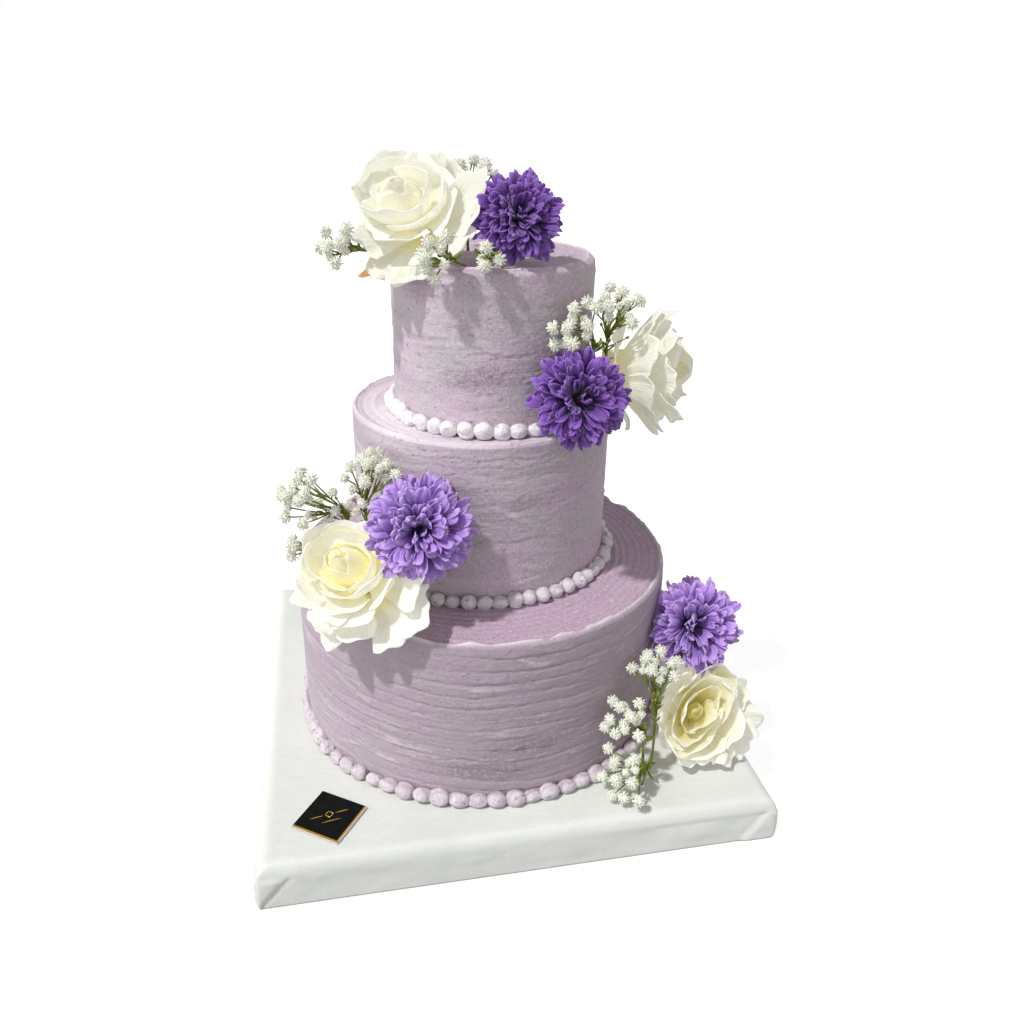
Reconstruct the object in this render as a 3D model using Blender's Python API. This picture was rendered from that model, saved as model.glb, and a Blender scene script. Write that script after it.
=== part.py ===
# Three-tier iced cake with silk flowers, standing on a paper-wrapped square board.
# Sizes are in millimetres and are turned into metres where meshes are made.
# Origin: middle of the board's underside. +X right, +Y away from the front, +Z up.
import math
import random

import bmesh
import bpy
from mathutils import Quaternion, Vector, noise
from mathutils.bvhtree import BVHTree

MM = 0.001
UP = Vector((0, 0, 1))
GAP = 0.3                  # air between neighbouring pieces

BOARD_SIDE = 305.0
BOARD_THICK = 27.5
BOARD_EDGE = 3.0           # rounding of the wrapped edges

# Each tier stands on the one before it: centre, radius, height, facets round it,
# comb ridges in its side and their depth.
TIERS = {
    "tier_bottom": dict(centre=(-4.6, -4.1), radius=118.0, height=108.3, facets=38, ridges=13, depth=1.1),
    "tier_middle": dict(centre=(-4.6, -0.6), radius=78.2, height=98.1, facets=36, ridges=3, depth=0.5),
    "tier_top": dict(centre=(0.3, -6.0), radius=57.8, height=88.6, facets=32, ridges=2, depth=0.4),
}
TIER_WAVER = 0.45          # how far an iced side strays from a true circle
RIM_WIDTH = 4.0            # thin lip of icing left standing round a top edge
RIM_RISE = 0.8

# One string of piped pearls goes round the foot of each tier.
PEARLS = {
    "pearls_bottom": dict(tier="tier_bottom", count=70),
    "pearls_middle": dict(tier="tier_middle", count=57),
    "pearls_top": dict(tier="tier_top", count=40),
}
PEARL_REACH = 8.2          # how far a pearl stands out from the side
PEARL_HEIGHT = 8.6
PEARL_SECTION = ((0.0, 0.0), (0.88, 0.0), (1.0, 0.55), (0.42, 1.0))  # shares of reach and height
PEARL_NECK = 0.42          # size of the string between two pearls, of a pearl's size
PEARL_UNEVEN = 0.13

# Silk flowers: centre, outer radius, where they face, the turn about that axis and,
# for a rose, the way that its stem takes to what carries it.
ROSES = {
    "rose_top": dict(centre=(-42.5, -31.5, 346.5), radius=37.5, faces=(-0.28, -0.70, 0.62), turn=0.3,
                     stem=(0.30, 0.45, -0.84)),
    "rose_left": dict(centre=(-87.5, -90.5, 163.0), radius=38.5, faces=(-0.30, -0.66, 0.68), turn=1.1,
                      stem=(0.36, 0.50, -0.79)),
    "rose_base": dict(centre=(118.0, -103.5, 54.8), radius=36.0, faces=(-0.12, -0.80, 0.55), turn=2.0,
                      stem=(-0.55, 0.80, -0.25)),
    "rose_right": dict(centre=(80.5, -45.5, 261.0), radius=36.5, faces=(0.86, -0.46, 0.12), turn=0.8,
                       stem=(-0.90, 0.42, -0.12)),
}
MUMS = {
    "mum_top": dict(centre=(6.2, -44.6, 345.8), radius=24.8, faces=(0.10, -0.82, 0.55), turn=0.2,
                    petals="deep"),
    "mum_right": dict(centre=(34.2, -78.2, 258.6), radius=27.2, faces=(0.02, -0.92, 0.38), turn=0.9,
                      petals="deep"),
    "mum_left": dict(centre=(-52.7, -88.5, 193.3), radius=30.3, faces=(0.05, -0.93, 0.36), turn=1.7,
                     petals="light"),
    "mum_base": dict(centre=(118.0, -72.3, 105.0), radius=31.2, faces=(0.05, -0.90, 0.42), turn=2.6,
                     petals="light"),
}
ROSE_LOBES = 5             # petals in each whorl of a rose
ROSE_FACETS = 20
# From calyx to heart, in shares of the radius: reach, height, whorl, depth of the
# notches between its petals and how far the petals rise and droop.
ROSE_PROFILE = (
    (0.16, -0.52, 0, 0.00, 0.00), (0.50, -0.36, 0, 0.06, 0.02), (0.88, -0.12, 0, 0.22, 0.09),
    (0.96, -0.02, 0, 0.24, 0.10), (0.72, 0.10, 0, 0.08, 0.03), (0.60, 0.05, 1, 0.03, 0.02),
    (0.71, 0.36, 1, 0.16, 0.07), (0.60, 0.40, 1, 0.12, 0.05), (0.44, 0.14, 1, 0.03, 0.02),
    (0.44, 0.52, 2, 0.12, 0.06), (0.34, 0.54, 2, 0.10, 0.05), (0.22, 0.26, 2, 0.03, 0.02),
)
ROSE_HEART = 0.50          # height of the heart, a share of the radius
MUM_FACETS = 18            # two for each petal of a row
MUM_ROWS = (140, 112, 84, 58, 33)    # angle of each petal row from the flower's face
MUM_VALLEY = 0.78          # depth between rows and notch between petals, of the radius
MUM_NOTCH = 0.86
MUM_HEART = 0.66
STEM_RADIUS = 2.4

# Sprigs of baby's breath: what the stem stands on, its foot, the fork where the
# fine stalks part, the middle of the flower head, its half width and blossoms.
SPRIGS = {
    "sprig_top_left": dict(on="tier_top", foot=(-50, -12), fork=(-77, -24, 328), head=(-88, -36, 333),
                           spread=12, count=6),
    "sprig_top_back": dict(on="tier_top", foot=(-14, -8), fork=(-13, -4, 345), head=(-11, 4, 366),
                           spread=17, count=8),
    "sprig_top_front": dict(on="tier_top", foot=(-22, -50), fork=(-30, -60, 328), head=(-42, -67, 332),
                            spread=12, count=7),
    "sprig_top_drop": dict(on="tier_top", foot=(-15, -50), fork=(-14, -60, 329), head=(-13, -70, 329),
                           spread=9, count=4),
    "sprig_right_front": dict(on="tier_middle", foot=(52.5, -51.5), fork=(48, -54, 284), head=(30, -70, 298),
                              spread=16, count=8),
    "sprig_right_back": dict(on="tier_middle", foot=(58, -45), fork=(57, -50, 284), head=(60, -54, 305),
                             spread=19, count=9),
    "sprig_left_far": dict(on="tier_bottom", foot=(-84, -50), fork=(-90, -56, 190), head=(-118, -62, 208),
                           spread=19, count=9),
    "sprig_left_high": dict(on="tier_bottom", foot=(-78, -54), fork=(-80, -58, 194), head=(-71, -66, 219),
                            spread=19, count=9),
    "sprig_left_low": dict(on="tier_bottom", foot=(-88, -46), fork=(-100, -58, 170), head=(-119, -70, 177),
                           spread=11, count=5),
    "sprig_base_high": dict(on="cake_board", foot=(84, -112), fork=(84, -109, 74), head=(84, -104, 104),
                            spread=17, count=8),
    "sprig_base_left": dict(on="cake_board", foot=(78, -117), fork=(75, -117, 62), head=(58, -121, 80),
                            spread=15, count=8),
    "sprig_base_low": dict(on="cake_board", foot=(82, -121), fork=(76, -124, 42), head=(56, -130, 46),
                           spread=20, count=9),
}
BLOSSOM_RADIUS = 3.8
STALK_RADIUS = 0.7
MAIN_STALK_RADIUS = 1.1
GOLDEN_ANGLE = math.radians(137.5)

CARD_SIDE = 29.5
CARD_THICK = 1.0
CARD_CENTRE = (-110.4, -117.1)
CARD_TURN = math.radians(-34.6)

LAVENDER = (0.62, 0.50, 0.62)
PEARL_PINK = (0.80, 0.72, 0.78)
PAPER_WHITE = (0.88, 0.89, 0.88)
ROSE_CREAM = (0.90, 0.89, 0.76)
MUM_DEEP = (0.17, 0.08, 0.45)
MUM_LIGHT = (0.33, 0.20, 0.66)
BLOSSOM_WHITE = (0.86, 0.88, 0.80)
CARD_BLACK = (0.02, 0.02, 0.02)


def clear_scene():
    for old in list(bpy.data.objects):
        bpy.data.objects.remove(old)


def material(name, colour, roughness, metallic=0.0):
    finish = bpy.data.materials.new(name)
    finish.use_nodes = True
    shader = finish.node_tree.nodes["Principled BSDF"]
    shader.inputs["Base Color"].default_value = (*colour, 1.0)
    shader.inputs["Roughness"].default_value = roughness
    shader.inputs["Metallic"].default_value = metallic
    return finish


def add_object(name, points, faces, location=(0, 0, 0), smooth=40):
    """Make a mesh object from points and a location in millimetres."""
    mesh = bpy.data.meshes.new(name)
    mesh.from_pydata([Vector(point) * MM for point in points], [], faces)
    mesh.validate()
    mesh.shade_smooth()
    mesh.set_sharp_from_angle(angle=math.radians(smooth))
    solid = bpy.data.objects.new(name, mesh)
    solid.location = Vector(location) * MM
    bpy.context.scene.collection.objects.link(solid)
    bpy.context.view_layer.update()
    return solid


def stack_rings(rings, end_below=None, end_above=None):
    """Skin rings of equal length, lowest first, into a closed shape.

    An end is a flat face, or a fan to the point that is given for it."""
    count = len(rings[0])
    points = [point for ring in rings for point in ring]
    faces = []
    for low in range(len(rings) - 1):
        for side in range(count):
            after = (side + 1) % count
            here = low * count
            above = here + count
            faces.append((here + side, here + after, above + after, above + side))
    top = (len(rings) - 1) * count
    for start, tip, outward in ((0, end_below, False), (top, end_above, True)):
        ring = list(range(start, start + count))
        if tip is None:
            faces.append(ring if outward else ring[::-1])
            continue
        points.append(tip)
        last = len(points) - 1
        for side in range(count):
            edge = (ring[side], ring[(side + 1) % count])
            faces.append((*edge, last) if outward else (*edge[::-1], last))
    return points, faces


def circle(radius, height, count, turn=0.0):
    step = 2 * math.pi / count
    return [(radius * math.cos(turn + side * step), radius * math.sin(turn + side * step), height)
            for side in range(count)]


def aim(solid, faces, turn=0.0):
    """Turn a piece so that its own +Z looks along faces, then spin it about that axis."""
    solid.rotation_mode = "QUATERNION"
    look = Vector(faces).to_track_quat("Z", "Y")
    solid.rotation_quaternion = look @ Quaternion((0, 0, 1), turn)
    bpy.context.view_layer.update()


def largest_body(solid):
    """Drop the loose scraps that a cut leaves, and keep the largest piece."""
    shape = bmesh.new()
    shape.from_mesh(solid.data)
    left = set(shape.verts)
    bodies = []
    while left:
        body = set()
        edge = [left.pop()]
        while edge:
            point = edge.pop()
            body.add(point)
            for link in point.link_edges:
                other = link.other_vert(point)
                if other in left:
                    left.remove(other)
                    edge.append(other)
        bodies.append(body)
    bodies.sort(key=len)
    for scrap in bodies[:-1]:
        bmesh.ops.delete(shape, geom=list(scrap), context="VERTS")
    shape.to_mesh(solid.data)
    shape.free()


def combine(solid, others, operation, solver="EXACT"):
    """Apply one Boolean of all the others to the solid, then remove them."""
    group = bpy.data.collections.new(solid.name + "_others")
    for other in others:
        group.objects.link(other)
    change = solid.modifiers.new("change", "BOOLEAN")
    change.operation = operation
    change.operand_type = "COLLECTION"
    change.collection = group
    change.solver = solver
    bpy.context.view_layer.update()
    evaluated = solid.evaluated_get(bpy.context.evaluated_depsgraph_get())
    result = bpy.data.meshes.new_from_object(evaluated)
    solid.modifiers.remove(change)
    solid.data = result
    for other in list(group.objects):
        bpy.data.objects.remove(other)
    bpy.data.collections.remove(group)
    largest_body(solid)
    solid.data.shade_smooth()
    solid.data.set_sharp_from_angle(angle=math.radians(40))


def tier_foot(name):
    """Height of the surface that a tier stands on."""
    height = BOARD_THICK
    for other, tier in TIERS.items():
        if other == name:
            break
        height += tier["height"]
    return height


def surface(name):
    """Height of the top of the board or of a tier."""
    if name == "cake_board":
        return BOARD_THICK
    return tier_foot(name) + TIERS[name]["height"]


def make_board(finish):
    half = BOARD_SIDE / 2
    corners = [(-half, -half), (half, -half), (half, half), (-half, half)]
    rings = [[(x, y, height) for x, y in corners] for height in (0.0, BOARD_THICK)]
    board = add_object("cake_board", *stack_rings(rings))
    rounding = board.modifiers.new("wrapped edges", "BEVEL")
    rounding.width = BOARD_EDGE * MM
    rounding.segments = 2
    board.data.materials.append(finish)


def tier_profile(tier):
    """Radius and height up a tier's side, comb ridges and rim lip included."""
    radius = tier["radius"]
    height = tier["height"]
    profile = [(radius - 1.0, GAP)]
    comb_from = 3.0
    comb_to = height - 4.0
    pitch = (comb_to - comb_from) / tier["ridges"]
    for ridge in range(tier["ridges"]):
        foot = comb_from + ridge * pitch
        profile.append((radius - tier["depth"], foot))
        profile.append((radius + tier["depth"] / 2, foot + pitch * 0.62))
    profile.append((radius, comb_to))
    profile.append((radius - 0.8, height + RIM_RISE - 0.6))
    profile.append((radius - RIM_WIDTH / 2, height + RIM_RISE))
    profile.append((radius - RIM_WIDTH, height))
    return profile


def make_tier(name, tier, finish):
    rings = []
    for radius, height in tier_profile(tier):
        ring = []
        for x, y, z in circle(radius, height, tier["facets"]):
            swell = noise.noise(Vector((x, y, z * 2 + tier["radius"])) / 60) * 2 * TIER_WAVER
            ring.append((x * (1 + swell / radius), y * (1 + swell / radius), z))
        rings.append(ring)
    solid = add_object(name, *stack_rings(rings), location=(*tier["centre"], tier_foot(name)))
    solid.data.materials.append(finish)


def widest(tier):
    """Outermost radius that a tier's iced side can reach."""
    return tier["radius"] + tier["depth"] / 2 + TIER_WAVER


def make_pearls(name, pearls, finish):
    """A string of piped pearls: a ring whose round section swells at each pearl."""
    tier = TIERS[pearls["tier"]]
    inner = widest(tier) + GAP
    draw = random.Random(name)
    swell_at = ((0.0, PEARL_NECK), (0.30, 1.0), (0.70, 1.0))
    rings = []
    for pearl in range(pearls["count"]):
        size = 1 + draw.uniform(-PEARL_UNEVEN, PEARL_UNEVEN)
        for place, swell in swell_at:
            angle = (pearl + place) / pearls["count"] * 2 * math.pi
            wide = (PEARL_REACH - (inner - tier["radius"])) * swell * size
            high = PEARL_HEIGHT * swell * size
            ring = []
            for out, up in PEARL_SECTION:
                radius = inner + out * wide
                ring.append((radius * math.cos(angle), radius * math.sin(angle), GAP + up * high))
            rings.append(ring)
    count = len(PEARL_SECTION)
    points = [point for ring in rings for point in ring]
    faces = []
    for here in range(len(rings)):
        there = (here + 1) % len(rings)
        for side in range(count):
            after = (side + 1) % count
            faces.append((here * count + side, there * count + side,
                          there * count + after, here * count + after))
    solid = add_object(name, points, faces, location=(*tier["centre"], tier_foot(pearls["tier"])), smooth=60)
    solid.data.materials.append(finish)


def rose_shape(radius, seed):
    """Whorls of wavy petals round a heart, skinned as one closed body facing +Z."""
    draw = random.Random(seed)
    whorls = [[draw.uniform(-1, 1) for petal in range(ROSE_LOBES)] for whorl in range(3)]
    rings = []
    for reach, height, whorl, notch, droop in ROSE_PROFILE:
        ring = []
        for side in range(ROSE_FACETS):
            angle = side / ROSE_FACETS * 2 * math.pi
            place = (side / ROSE_FACETS * ROSE_LOBES + whorl * 0.5) % ROSE_LOBES
            length = whorls[whorl][int(place)]
            edge = abs(2 * (place % 1) - 1) ** 2
            out = reach * (1 - notch * edge + notch * 0.35 * length)
            rise = height + droop * (length + math.sin(angle * 3 + seed))
            ring.append((radius * min(out, 0.99) * math.cos(angle), radius * min(out, 0.99) * math.sin(angle),
                         radius * rise))
        rings.append(ring)
    return stack_rings(rings, end_above=(0, 0, radius * ROSE_HEART))


def mum_shape(radius, seed):
    """A pompon of petal rows round a ball, skinned as one closed body facing +Z."""
    draw = random.Random(seed)
    rings = []
    for row, polar in enumerate(MUM_ROWS):
        for part, (shift, size) in enumerate(((11, MUM_VALLEY), (0, 1.0))):
            tilt = math.radians(polar + shift)
            ring = []
            for side in range(MUM_FACETS):
                tip = (side + row) % 2 == 0
                reach = size if part == 0 or tip else MUM_NOTCH
                reach *= 1 - draw.uniform(0, 0.07)
                angle = (side + row * 0.3) / MUM_FACETS * 2 * math.pi
                out = radius * reach * math.sin(tilt)
                ring.append((out * math.cos(angle), out * math.sin(angle), radius * reach * math.cos(tilt)))
            rings.append(ring)
    return stack_rings(rings, end_above=(0, 0, radius * MUM_HEART))


def rod(start, end, radius, sides=6):
    """A straight closed rod between two points, in millimetres."""
    way = Vector(end) - Vector(start)
    rings = [circle(radius, 0.0, sides), circle(radius, way.length, sides)]
    solid = add_object("rod", *stack_rings(rings), location=start)
    aim(solid, way)
    return solid


def clearance(names):
    """Slightly larger copies of what carries a flower, which trim its back."""
    cutters = []
    half = BOARD_SIDE / 2 + 20
    corners = [(-half, -half), (half, -half), (half, half), (-half, half)]
    slab = [[(x, y, height) for x, y in corners] for height in (-20.0, BOARD_THICK + GAP)]
    cutters.append(add_object("clear_board", *stack_rings(slab)))
    for name, tier in TIERS.items():
        foot = tier_foot(name)
        wall = widest(tier) + GAP + 0.2
        rings = [circle(wall, foot, 64), circle(wall, surface(name) + GAP, 64)]
        rings.append(circle(tier["radius"] + 0.2, surface(name) + RIM_RISE + GAP, 64))
        cutters.append(add_object("clear_tier", *stack_rings(rings), location=(*tier["centre"], 0)))
        reach = tier["radius"] + PEARL_REACH * (1 + PEARL_UNEVEN) + 2 * GAP
        rings = [circle(reach, foot, 64), circle(reach, foot + PEARL_HEIGHT * (1 + PEARL_UNEVEN) + 2 * GAP, 64)]
        cutters.append(add_object("clear_pearls", *stack_rings(rings), location=(*tier["centre"], 0)))
    for name in names:
        flower = MUMS.get(name) or ROSES[name]
        ball = bmesh.new()
        bmesh.ops.create_icosphere(ball, subdivisions=3, radius=(flower["radius"] * 1.01 + GAP) * MM)
        mesh = bpy.data.meshes.new("clear_flower")
        ball.to_mesh(mesh)
        ball.free()
        solid = bpy.data.objects.new("clear_flower", mesh)
        solid.location = Vector(flower["centre"]) * MM
        bpy.context.scene.collection.objects.link(solid)
        cutters.append(solid)
    return cutters


def make_flower(name, flower, shape, beside, finish):
    """One silk flower, trimmed to lie against what carries it and what it leans on."""
    radius = flower["radius"]
    seed = sum(ord(letter) for letter in name)
    solid = add_object(name, *shape(radius, seed), location=flower["centre"], smooth=50)
    aim(solid, flower["faces"], flower["turn"])
    if "stem" in flower:
        centre = Vector(flower["centre"])
        way = Vector(flower["stem"]).normalized() * radius
        combine(solid, [rod(centre + way * 0.2, centre + way * 1.5, STEM_RADIUS)], "UNION")
    combine(solid, clearance(beside), "DIFFERENCE")
    solid.data.materials.clear()
    solid.data.materials.append(finish)
    return solid


def surface_tree(solid):
    shape = bmesh.new()
    shape.from_mesh(solid.data)
    shape.transform(solid.matrix_world)
    tree = BVHTree.FromBMesh(shape)
    shape.free()
    return tree


def is_inside(point, tree):
    """True where a line straight up leaves the closed shape an odd number of times."""
    crossings = 0
    start = point
    while True:
        place, normal, index, distance = tree.ray_cast(start, UP)
        if place is None:
            return crossings % 2 == 1
        crossings += 1
        start = place + UP * MM * 0.01


def is_free(point, room, trees):
    """True where a ball of radius room round a point touches no flower or tier."""
    x, y, z = point
    for name, tier in TIERS.items():
        out = math.hypot(x - tier["centre"][0], y - tier["centre"][1])
        if out < widest(tier) + GAP + room and z < surface(name) + RIM_RISE + room:
            if not (out < tier["radius"] - RIM_WIDTH and z > surface(name) + GAP + room):
                return False
        near_foot = tier_foot(name) - room < z < tier_foot(name) + PEARL_HEIGHT * (1 + PEARL_UNEVEN) + room
        if near_foot and out < tier["radius"] + PEARL_REACH * (1 + PEARL_UNEVEN) + GAP + room:
            return False
    if z < BOARD_THICK + GAP + room:
        return False
    for tree in trees:
        place, normal, index, distance = tree.find_nearest(Vector(point) * MM)
        if distance < (room + GAP) * MM or is_inside(Vector(point) * MM, tree):
            return False
    return True


def is_free_way(start, end, room, trees):
    """True where a stalk between two points touches nothing on its way."""
    steps = 12
    for step in range(2, steps):
        if not is_free(Vector(start).lerp(Vector(end), step / steps), room, trees):
            return False
    return True


def knot(centre, radius):
    """A small ball that joins the stalks where they part."""
    rings = [circle(radius, 0.0, 6)]
    solid = add_object("knot", *stack_rings(rings, (0, 0, -radius), (0, 0, radius)), location=centre)
    return solid


def stalk_with_blossom(start, end, radius):
    """A thin stalk that opens into one few-sided blossom, centred on end."""
    way = Vector(end) - Vector(start)
    neck = way.length - radius
    rings = [circle(STALK_RADIUS, 0.0, 4), circle(STALK_RADIUS, neck, 4), circle(radius, way.length, 4)]
    solid = add_object("stalk", *stack_rings(rings, end_above=(0, 0, way.length + radius)), location=start)
    aim(solid, way)
    return solid


def blossom_places(name, sprig, trees):
    """Ends of the stalks: a golden-angle head, each moved until it is free."""
    draw = random.Random(name)
    fork = Vector(sprig["fork"])
    head = Vector(sprig["head"])
    along = (head - fork).normalized()
    across = along.orthogonal().normalized()
    upright = along.cross(across)
    ends = []
    for number in range(sprig["count"]):
        share = (number + 0.5) / sprig["count"]
        for attempt in range(14):
            angle = number * GOLDEN_ANGLE + attempt * 0.45
            out = sprig["spread"] * math.sqrt(share) * (1 - 0.04 * attempt)
            lift = sprig["spread"] * (0.25 - 0.6 * share + draw.uniform(-0.15, 0.15))
            end = head + (across * math.cos(angle) + upright * math.sin(angle)) * out + along * lift
            apart = all((end - other).length > BLOSSOM_RADIUS * 2.15 for other in ends)
            if apart and is_free(end, BLOSSOM_RADIUS, trees) and is_free_way(fork, end, STALK_RADIUS, trees):
                ends.append(end)
                break
    return ends


def make_sprig(name, sprig, trees, finish):
    fork = Vector(sprig["fork"])
    foot = Vector((*sprig["foot"], surface(sprig["on"]) + GAP + MAIN_STALK_RADIUS))
    ends = blossom_places(name, sprig, trees)
    parts = [rod(foot, fork, MAIN_STALK_RADIUS, 4), knot(fork, MAIN_STALK_RADIUS * 1.4)]
    for end in ends:
        parts.append(stalk_with_blossom(fork, end, BLOSSOM_RADIUS))
    solid = parts.pop(0)
    solid.name = name
    combine(solid, parts, "UNION", "MANIFOLD")
    solid.data.materials.clear()
    solid.data.materials.append(finish)


def make_card(finish):
    half = CARD_SIDE / 2
    corners = [(-half, -half), (half, -half), (half, half), (-half, half)]
    rings = [[(x, y, height) for x, y in corners] for height in (GAP, GAP + CARD_THICK)]
    card = add_object("card", *stack_rings(rings), location=(*CARD_CENTRE, BOARD_THICK))
    card.rotation_euler.z = CARD_TURN
    card.data.materials.append(finish)


def main():
    clear_scene()
    icing = material("lavender_icing", LAVENDER, 0.75)
    make_board(material("wrapping_paper", PAPER_WHITE, 0.6))
    for name, tier in TIERS.items():
        make_tier(name, tier, icing)
    pearl_icing = material("pearl_icing", PEARL_PINK, 0.6)
    for name, pearls in PEARLS.items():
        make_pearls(name, pearls, pearl_icing)
    flowers = []
    violets = {"deep": material("deep_violet_petals", MUM_DEEP, 0.7),
               "light": material("light_violet_petals", MUM_LIGHT, 0.7)}
    for name, flower in MUMS.items():
        flowers.append(make_flower(name, flower, mum_shape, [], violets[flower["petals"]]))
    cream = material("cream_petals", ROSE_CREAM, 0.65)
    for name, flower in ROSES.items():
        beside = [other for other, mum in MUMS.items()
                  if (Vector(mum["centre"]) - Vector(flower["centre"])).length < mum["radius"] + flower["radius"]]
        flowers.append(make_flower(name, flower, rose_shape, beside, cream))
    trees = [surface_tree(flower) for flower in flowers]
    white = material("blossom_white", BLOSSOM_WHITE, 0.7)
    for name, sprig in SPRIGS.items():
        make_sprig(name, sprig, trees, white)
    make_card(material("card_black", CARD_BLACK, 0.35))


main()
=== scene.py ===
import math
import random

import bpy
import numpy as np
from mathutils import Matrix, Vector


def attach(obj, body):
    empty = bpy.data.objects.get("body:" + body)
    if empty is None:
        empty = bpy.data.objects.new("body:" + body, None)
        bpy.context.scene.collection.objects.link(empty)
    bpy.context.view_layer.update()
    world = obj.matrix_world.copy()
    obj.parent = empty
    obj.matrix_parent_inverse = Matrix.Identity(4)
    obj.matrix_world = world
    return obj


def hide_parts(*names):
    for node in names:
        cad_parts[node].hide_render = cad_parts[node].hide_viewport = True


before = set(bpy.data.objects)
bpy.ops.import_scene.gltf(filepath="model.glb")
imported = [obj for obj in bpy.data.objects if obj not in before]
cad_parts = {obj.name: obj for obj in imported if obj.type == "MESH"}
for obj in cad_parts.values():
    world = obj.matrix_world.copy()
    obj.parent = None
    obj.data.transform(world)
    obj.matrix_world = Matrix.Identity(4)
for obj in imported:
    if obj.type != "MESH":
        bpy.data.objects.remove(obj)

mm = 0.001   # every size below is in millimetres, in the frame of the solids
fullTurn = 2 * math.pi
goldenAngle = math.radians(137.5)   # between neighbours in a whorl
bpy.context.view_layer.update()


# small helpers for building meshes out of many sheets and tubes

def unit(vector):
    return vector / np.linalg.norm(vector)


def softNoise(around, up, cellsAround, cellsUp, seed):
    # smooth random relief from -1 to 1 that closes on itself where around goes from 0 to 1
    grid = np.random.default_rng(seed).uniform(-1, 1, (cellsUp + 2, cellsAround))
    x = np.mod(around, 1.0) * cellsAround
    y = np.clip(up, 0, 1) * cellsUp
    left = np.floor(x).astype(int)
    low = np.floor(y).astype(int)
    fx = x - left
    fy = y - low
    fx = fx * fx * (3 - 2 * fx)
    fy = fy * fy * (3 - 2 * fy)
    left = left % cellsAround
    right = (left + 1) % cellsAround
    below = grid[low, left] * (1 - fx) + grid[low, right] * fx
    above = grid[low + 1, left] * (1 - fx) + grid[low + 1, right] * fx
    return below * (1 - fy) + above * fy


def turnsRound(count):
    # equal steps of a full turn, as one row
    return np.arange(count)[None, :] / count * fullTurn


def turnGap(turn, at):
    # the angle from one direction to another, the short way round
    return np.mod(turn - at + math.pi, fullTurn) - math.pi


def sheetAxes(rows, cols):
    # along a sheet from its base to its lip, and across it from side to side
    return np.linspace(0, 1, rows)[:, None], np.linspace(-1, 1, cols)[None, :]


def ballPoints(size, polar, turn):
    # points of a lumpy ball, in axes of right, up and outward
    return np.stack([size * np.sin(polar) * np.sin(turn), size * np.sin(polar) * np.cos(turn),
                     size * np.cos(polar) + 0 * turn], axis=-1)


def newBunch(*layers):
    return {"points": [], "quads": [], "tris": [], "quadFinish": [], "triFinish": [],
            "layers": {layer: [] for layer in layers}, "count": 0}


def addGrid(bunch, grid, finish=0, wrap=False, closeStart=False, closeEnd=False, **layers):
    # grid is rows x columns x 3; a layer is one value or rows x columns of them
    rows, cols = grid.shape[:2]
    index = bunch["count"] + np.arange(rows * cols).reshape(rows, cols)
    bunch["points"].append(grid.reshape(-1, 3))
    bunch["count"] += rows * cols
    if wrap:
        index = np.hstack([index, index[:, :1]])
    quads = np.stack([index[:-1, :-1], index[:-1, 1:], index[1:, 1:], index[1:, :-1]], axis=-1)
    bunch["quads"].append(quads.reshape(-1, 4))
    bunch["quadFinish"].append(np.full(quads.shape[0] * quads.shape[1], finish))
    values = {}
    for layer in bunch["layers"]:
        values[layer] = np.broadcast_to(layers.get(layer, 0.0), (rows, cols))
        bunch["layers"][layer].append(values[layer].reshape(-1))
    for wanted, row, flip in ((closeStart, 0, True), (closeEnd, -1, False)):
        if not wanted:
            continue
        ring = index[row]
        tip = bunch["count"]
        bunch["points"].append(grid[row].mean(axis=0)[None, :])
        bunch["count"] += 1
        fan = np.stack([ring[:-1], ring[1:], np.full(len(ring) - 1, tip)], axis=-1)
        bunch["tris"].append(fan[:, ::-1] if flip else fan)
        bunch["triFinish"].append(np.full(len(fan), finish))
        for layer in bunch["layers"]:
            bunch["layers"][layer].append(values[layer][row].mean(keepdims=True))


def addTube(bunch, path, radii, sides, finish):
    path = np.asarray(path, float)
    ways = np.gradient(path, axis=0)
    side = unit(np.cross(ways[0], (0.3, 0.2, 0.93)))
    rings = []
    for point, way, radius in zip(path, ways, np.broadcast_to(radii, len(path))):
        way = unit(way)
        side = unit(side - way * np.dot(side, way))
        over = np.cross(way, side)
        turns = turnsRound(sides).T
        rings.append(point + radius * (np.cos(turns) * side + np.sin(turns) * over))
    addGrid(bunch, np.array(rings), finish, wrap=True, closeStart=True, closeEnd=True)


def bendPath(start, end, sag, steps=7):
    # a slightly bowed way from start to end
    start, end, sag = (np.asarray(v, float) for v in (start, end, sag))
    share = np.linspace(0, 1, steps)[:, None]
    return start + (end - start) * share + sag * np.sin(share * math.pi)


def makePiece(name, bunch, solid, finishes, thick=0.0):
    mesh = bpy.data.meshes.new(name)
    points = np.vstack(bunch["points"]) * mm
    faces = np.vstack(bunch["quads"]).tolist()
    finish = list(bunch["quadFinish"])
    if bunch["tris"]:
        faces += np.vstack(bunch["tris"]).tolist()
        finish += bunch["triFinish"]
    mesh.from_pydata(points.tolist(), [], faces)
    mesh.polygons.foreach_set("use_smooth", np.ones(len(faces), bool))
    mesh.polygons.foreach_set("material_index", np.concatenate(finish).astype(np.int32))
    for layer, values in bunch["layers"].items():
        attribute = mesh.attributes.new(layer, "FLOAT", "POINT")
        attribute.data.foreach_set("value", np.concatenate(values).astype(np.float32))
    mesh.update()
    piece = bpy.data.objects.new(name, mesh)
    bpy.context.scene.collection.objects.link(piece)
    for material in finishes:
        mesh.materials.append(material)
    if thick:
        cloth = piece.modifiers.new("thickness", "SOLIDIFY")
        cloth.thickness = thick * mm
        cloth.offset = 0
    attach(piece, "root")
    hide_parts(solid)
    return piece


# node helpers for the finishes

def node(material, kind, **settings):
    made = material.node_tree.nodes.new(kind)
    for key, value in settings.items():
        setattr(made, key, value)
    return made


def link(material, source, target):
    material.node_tree.links.new(source, target)


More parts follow.
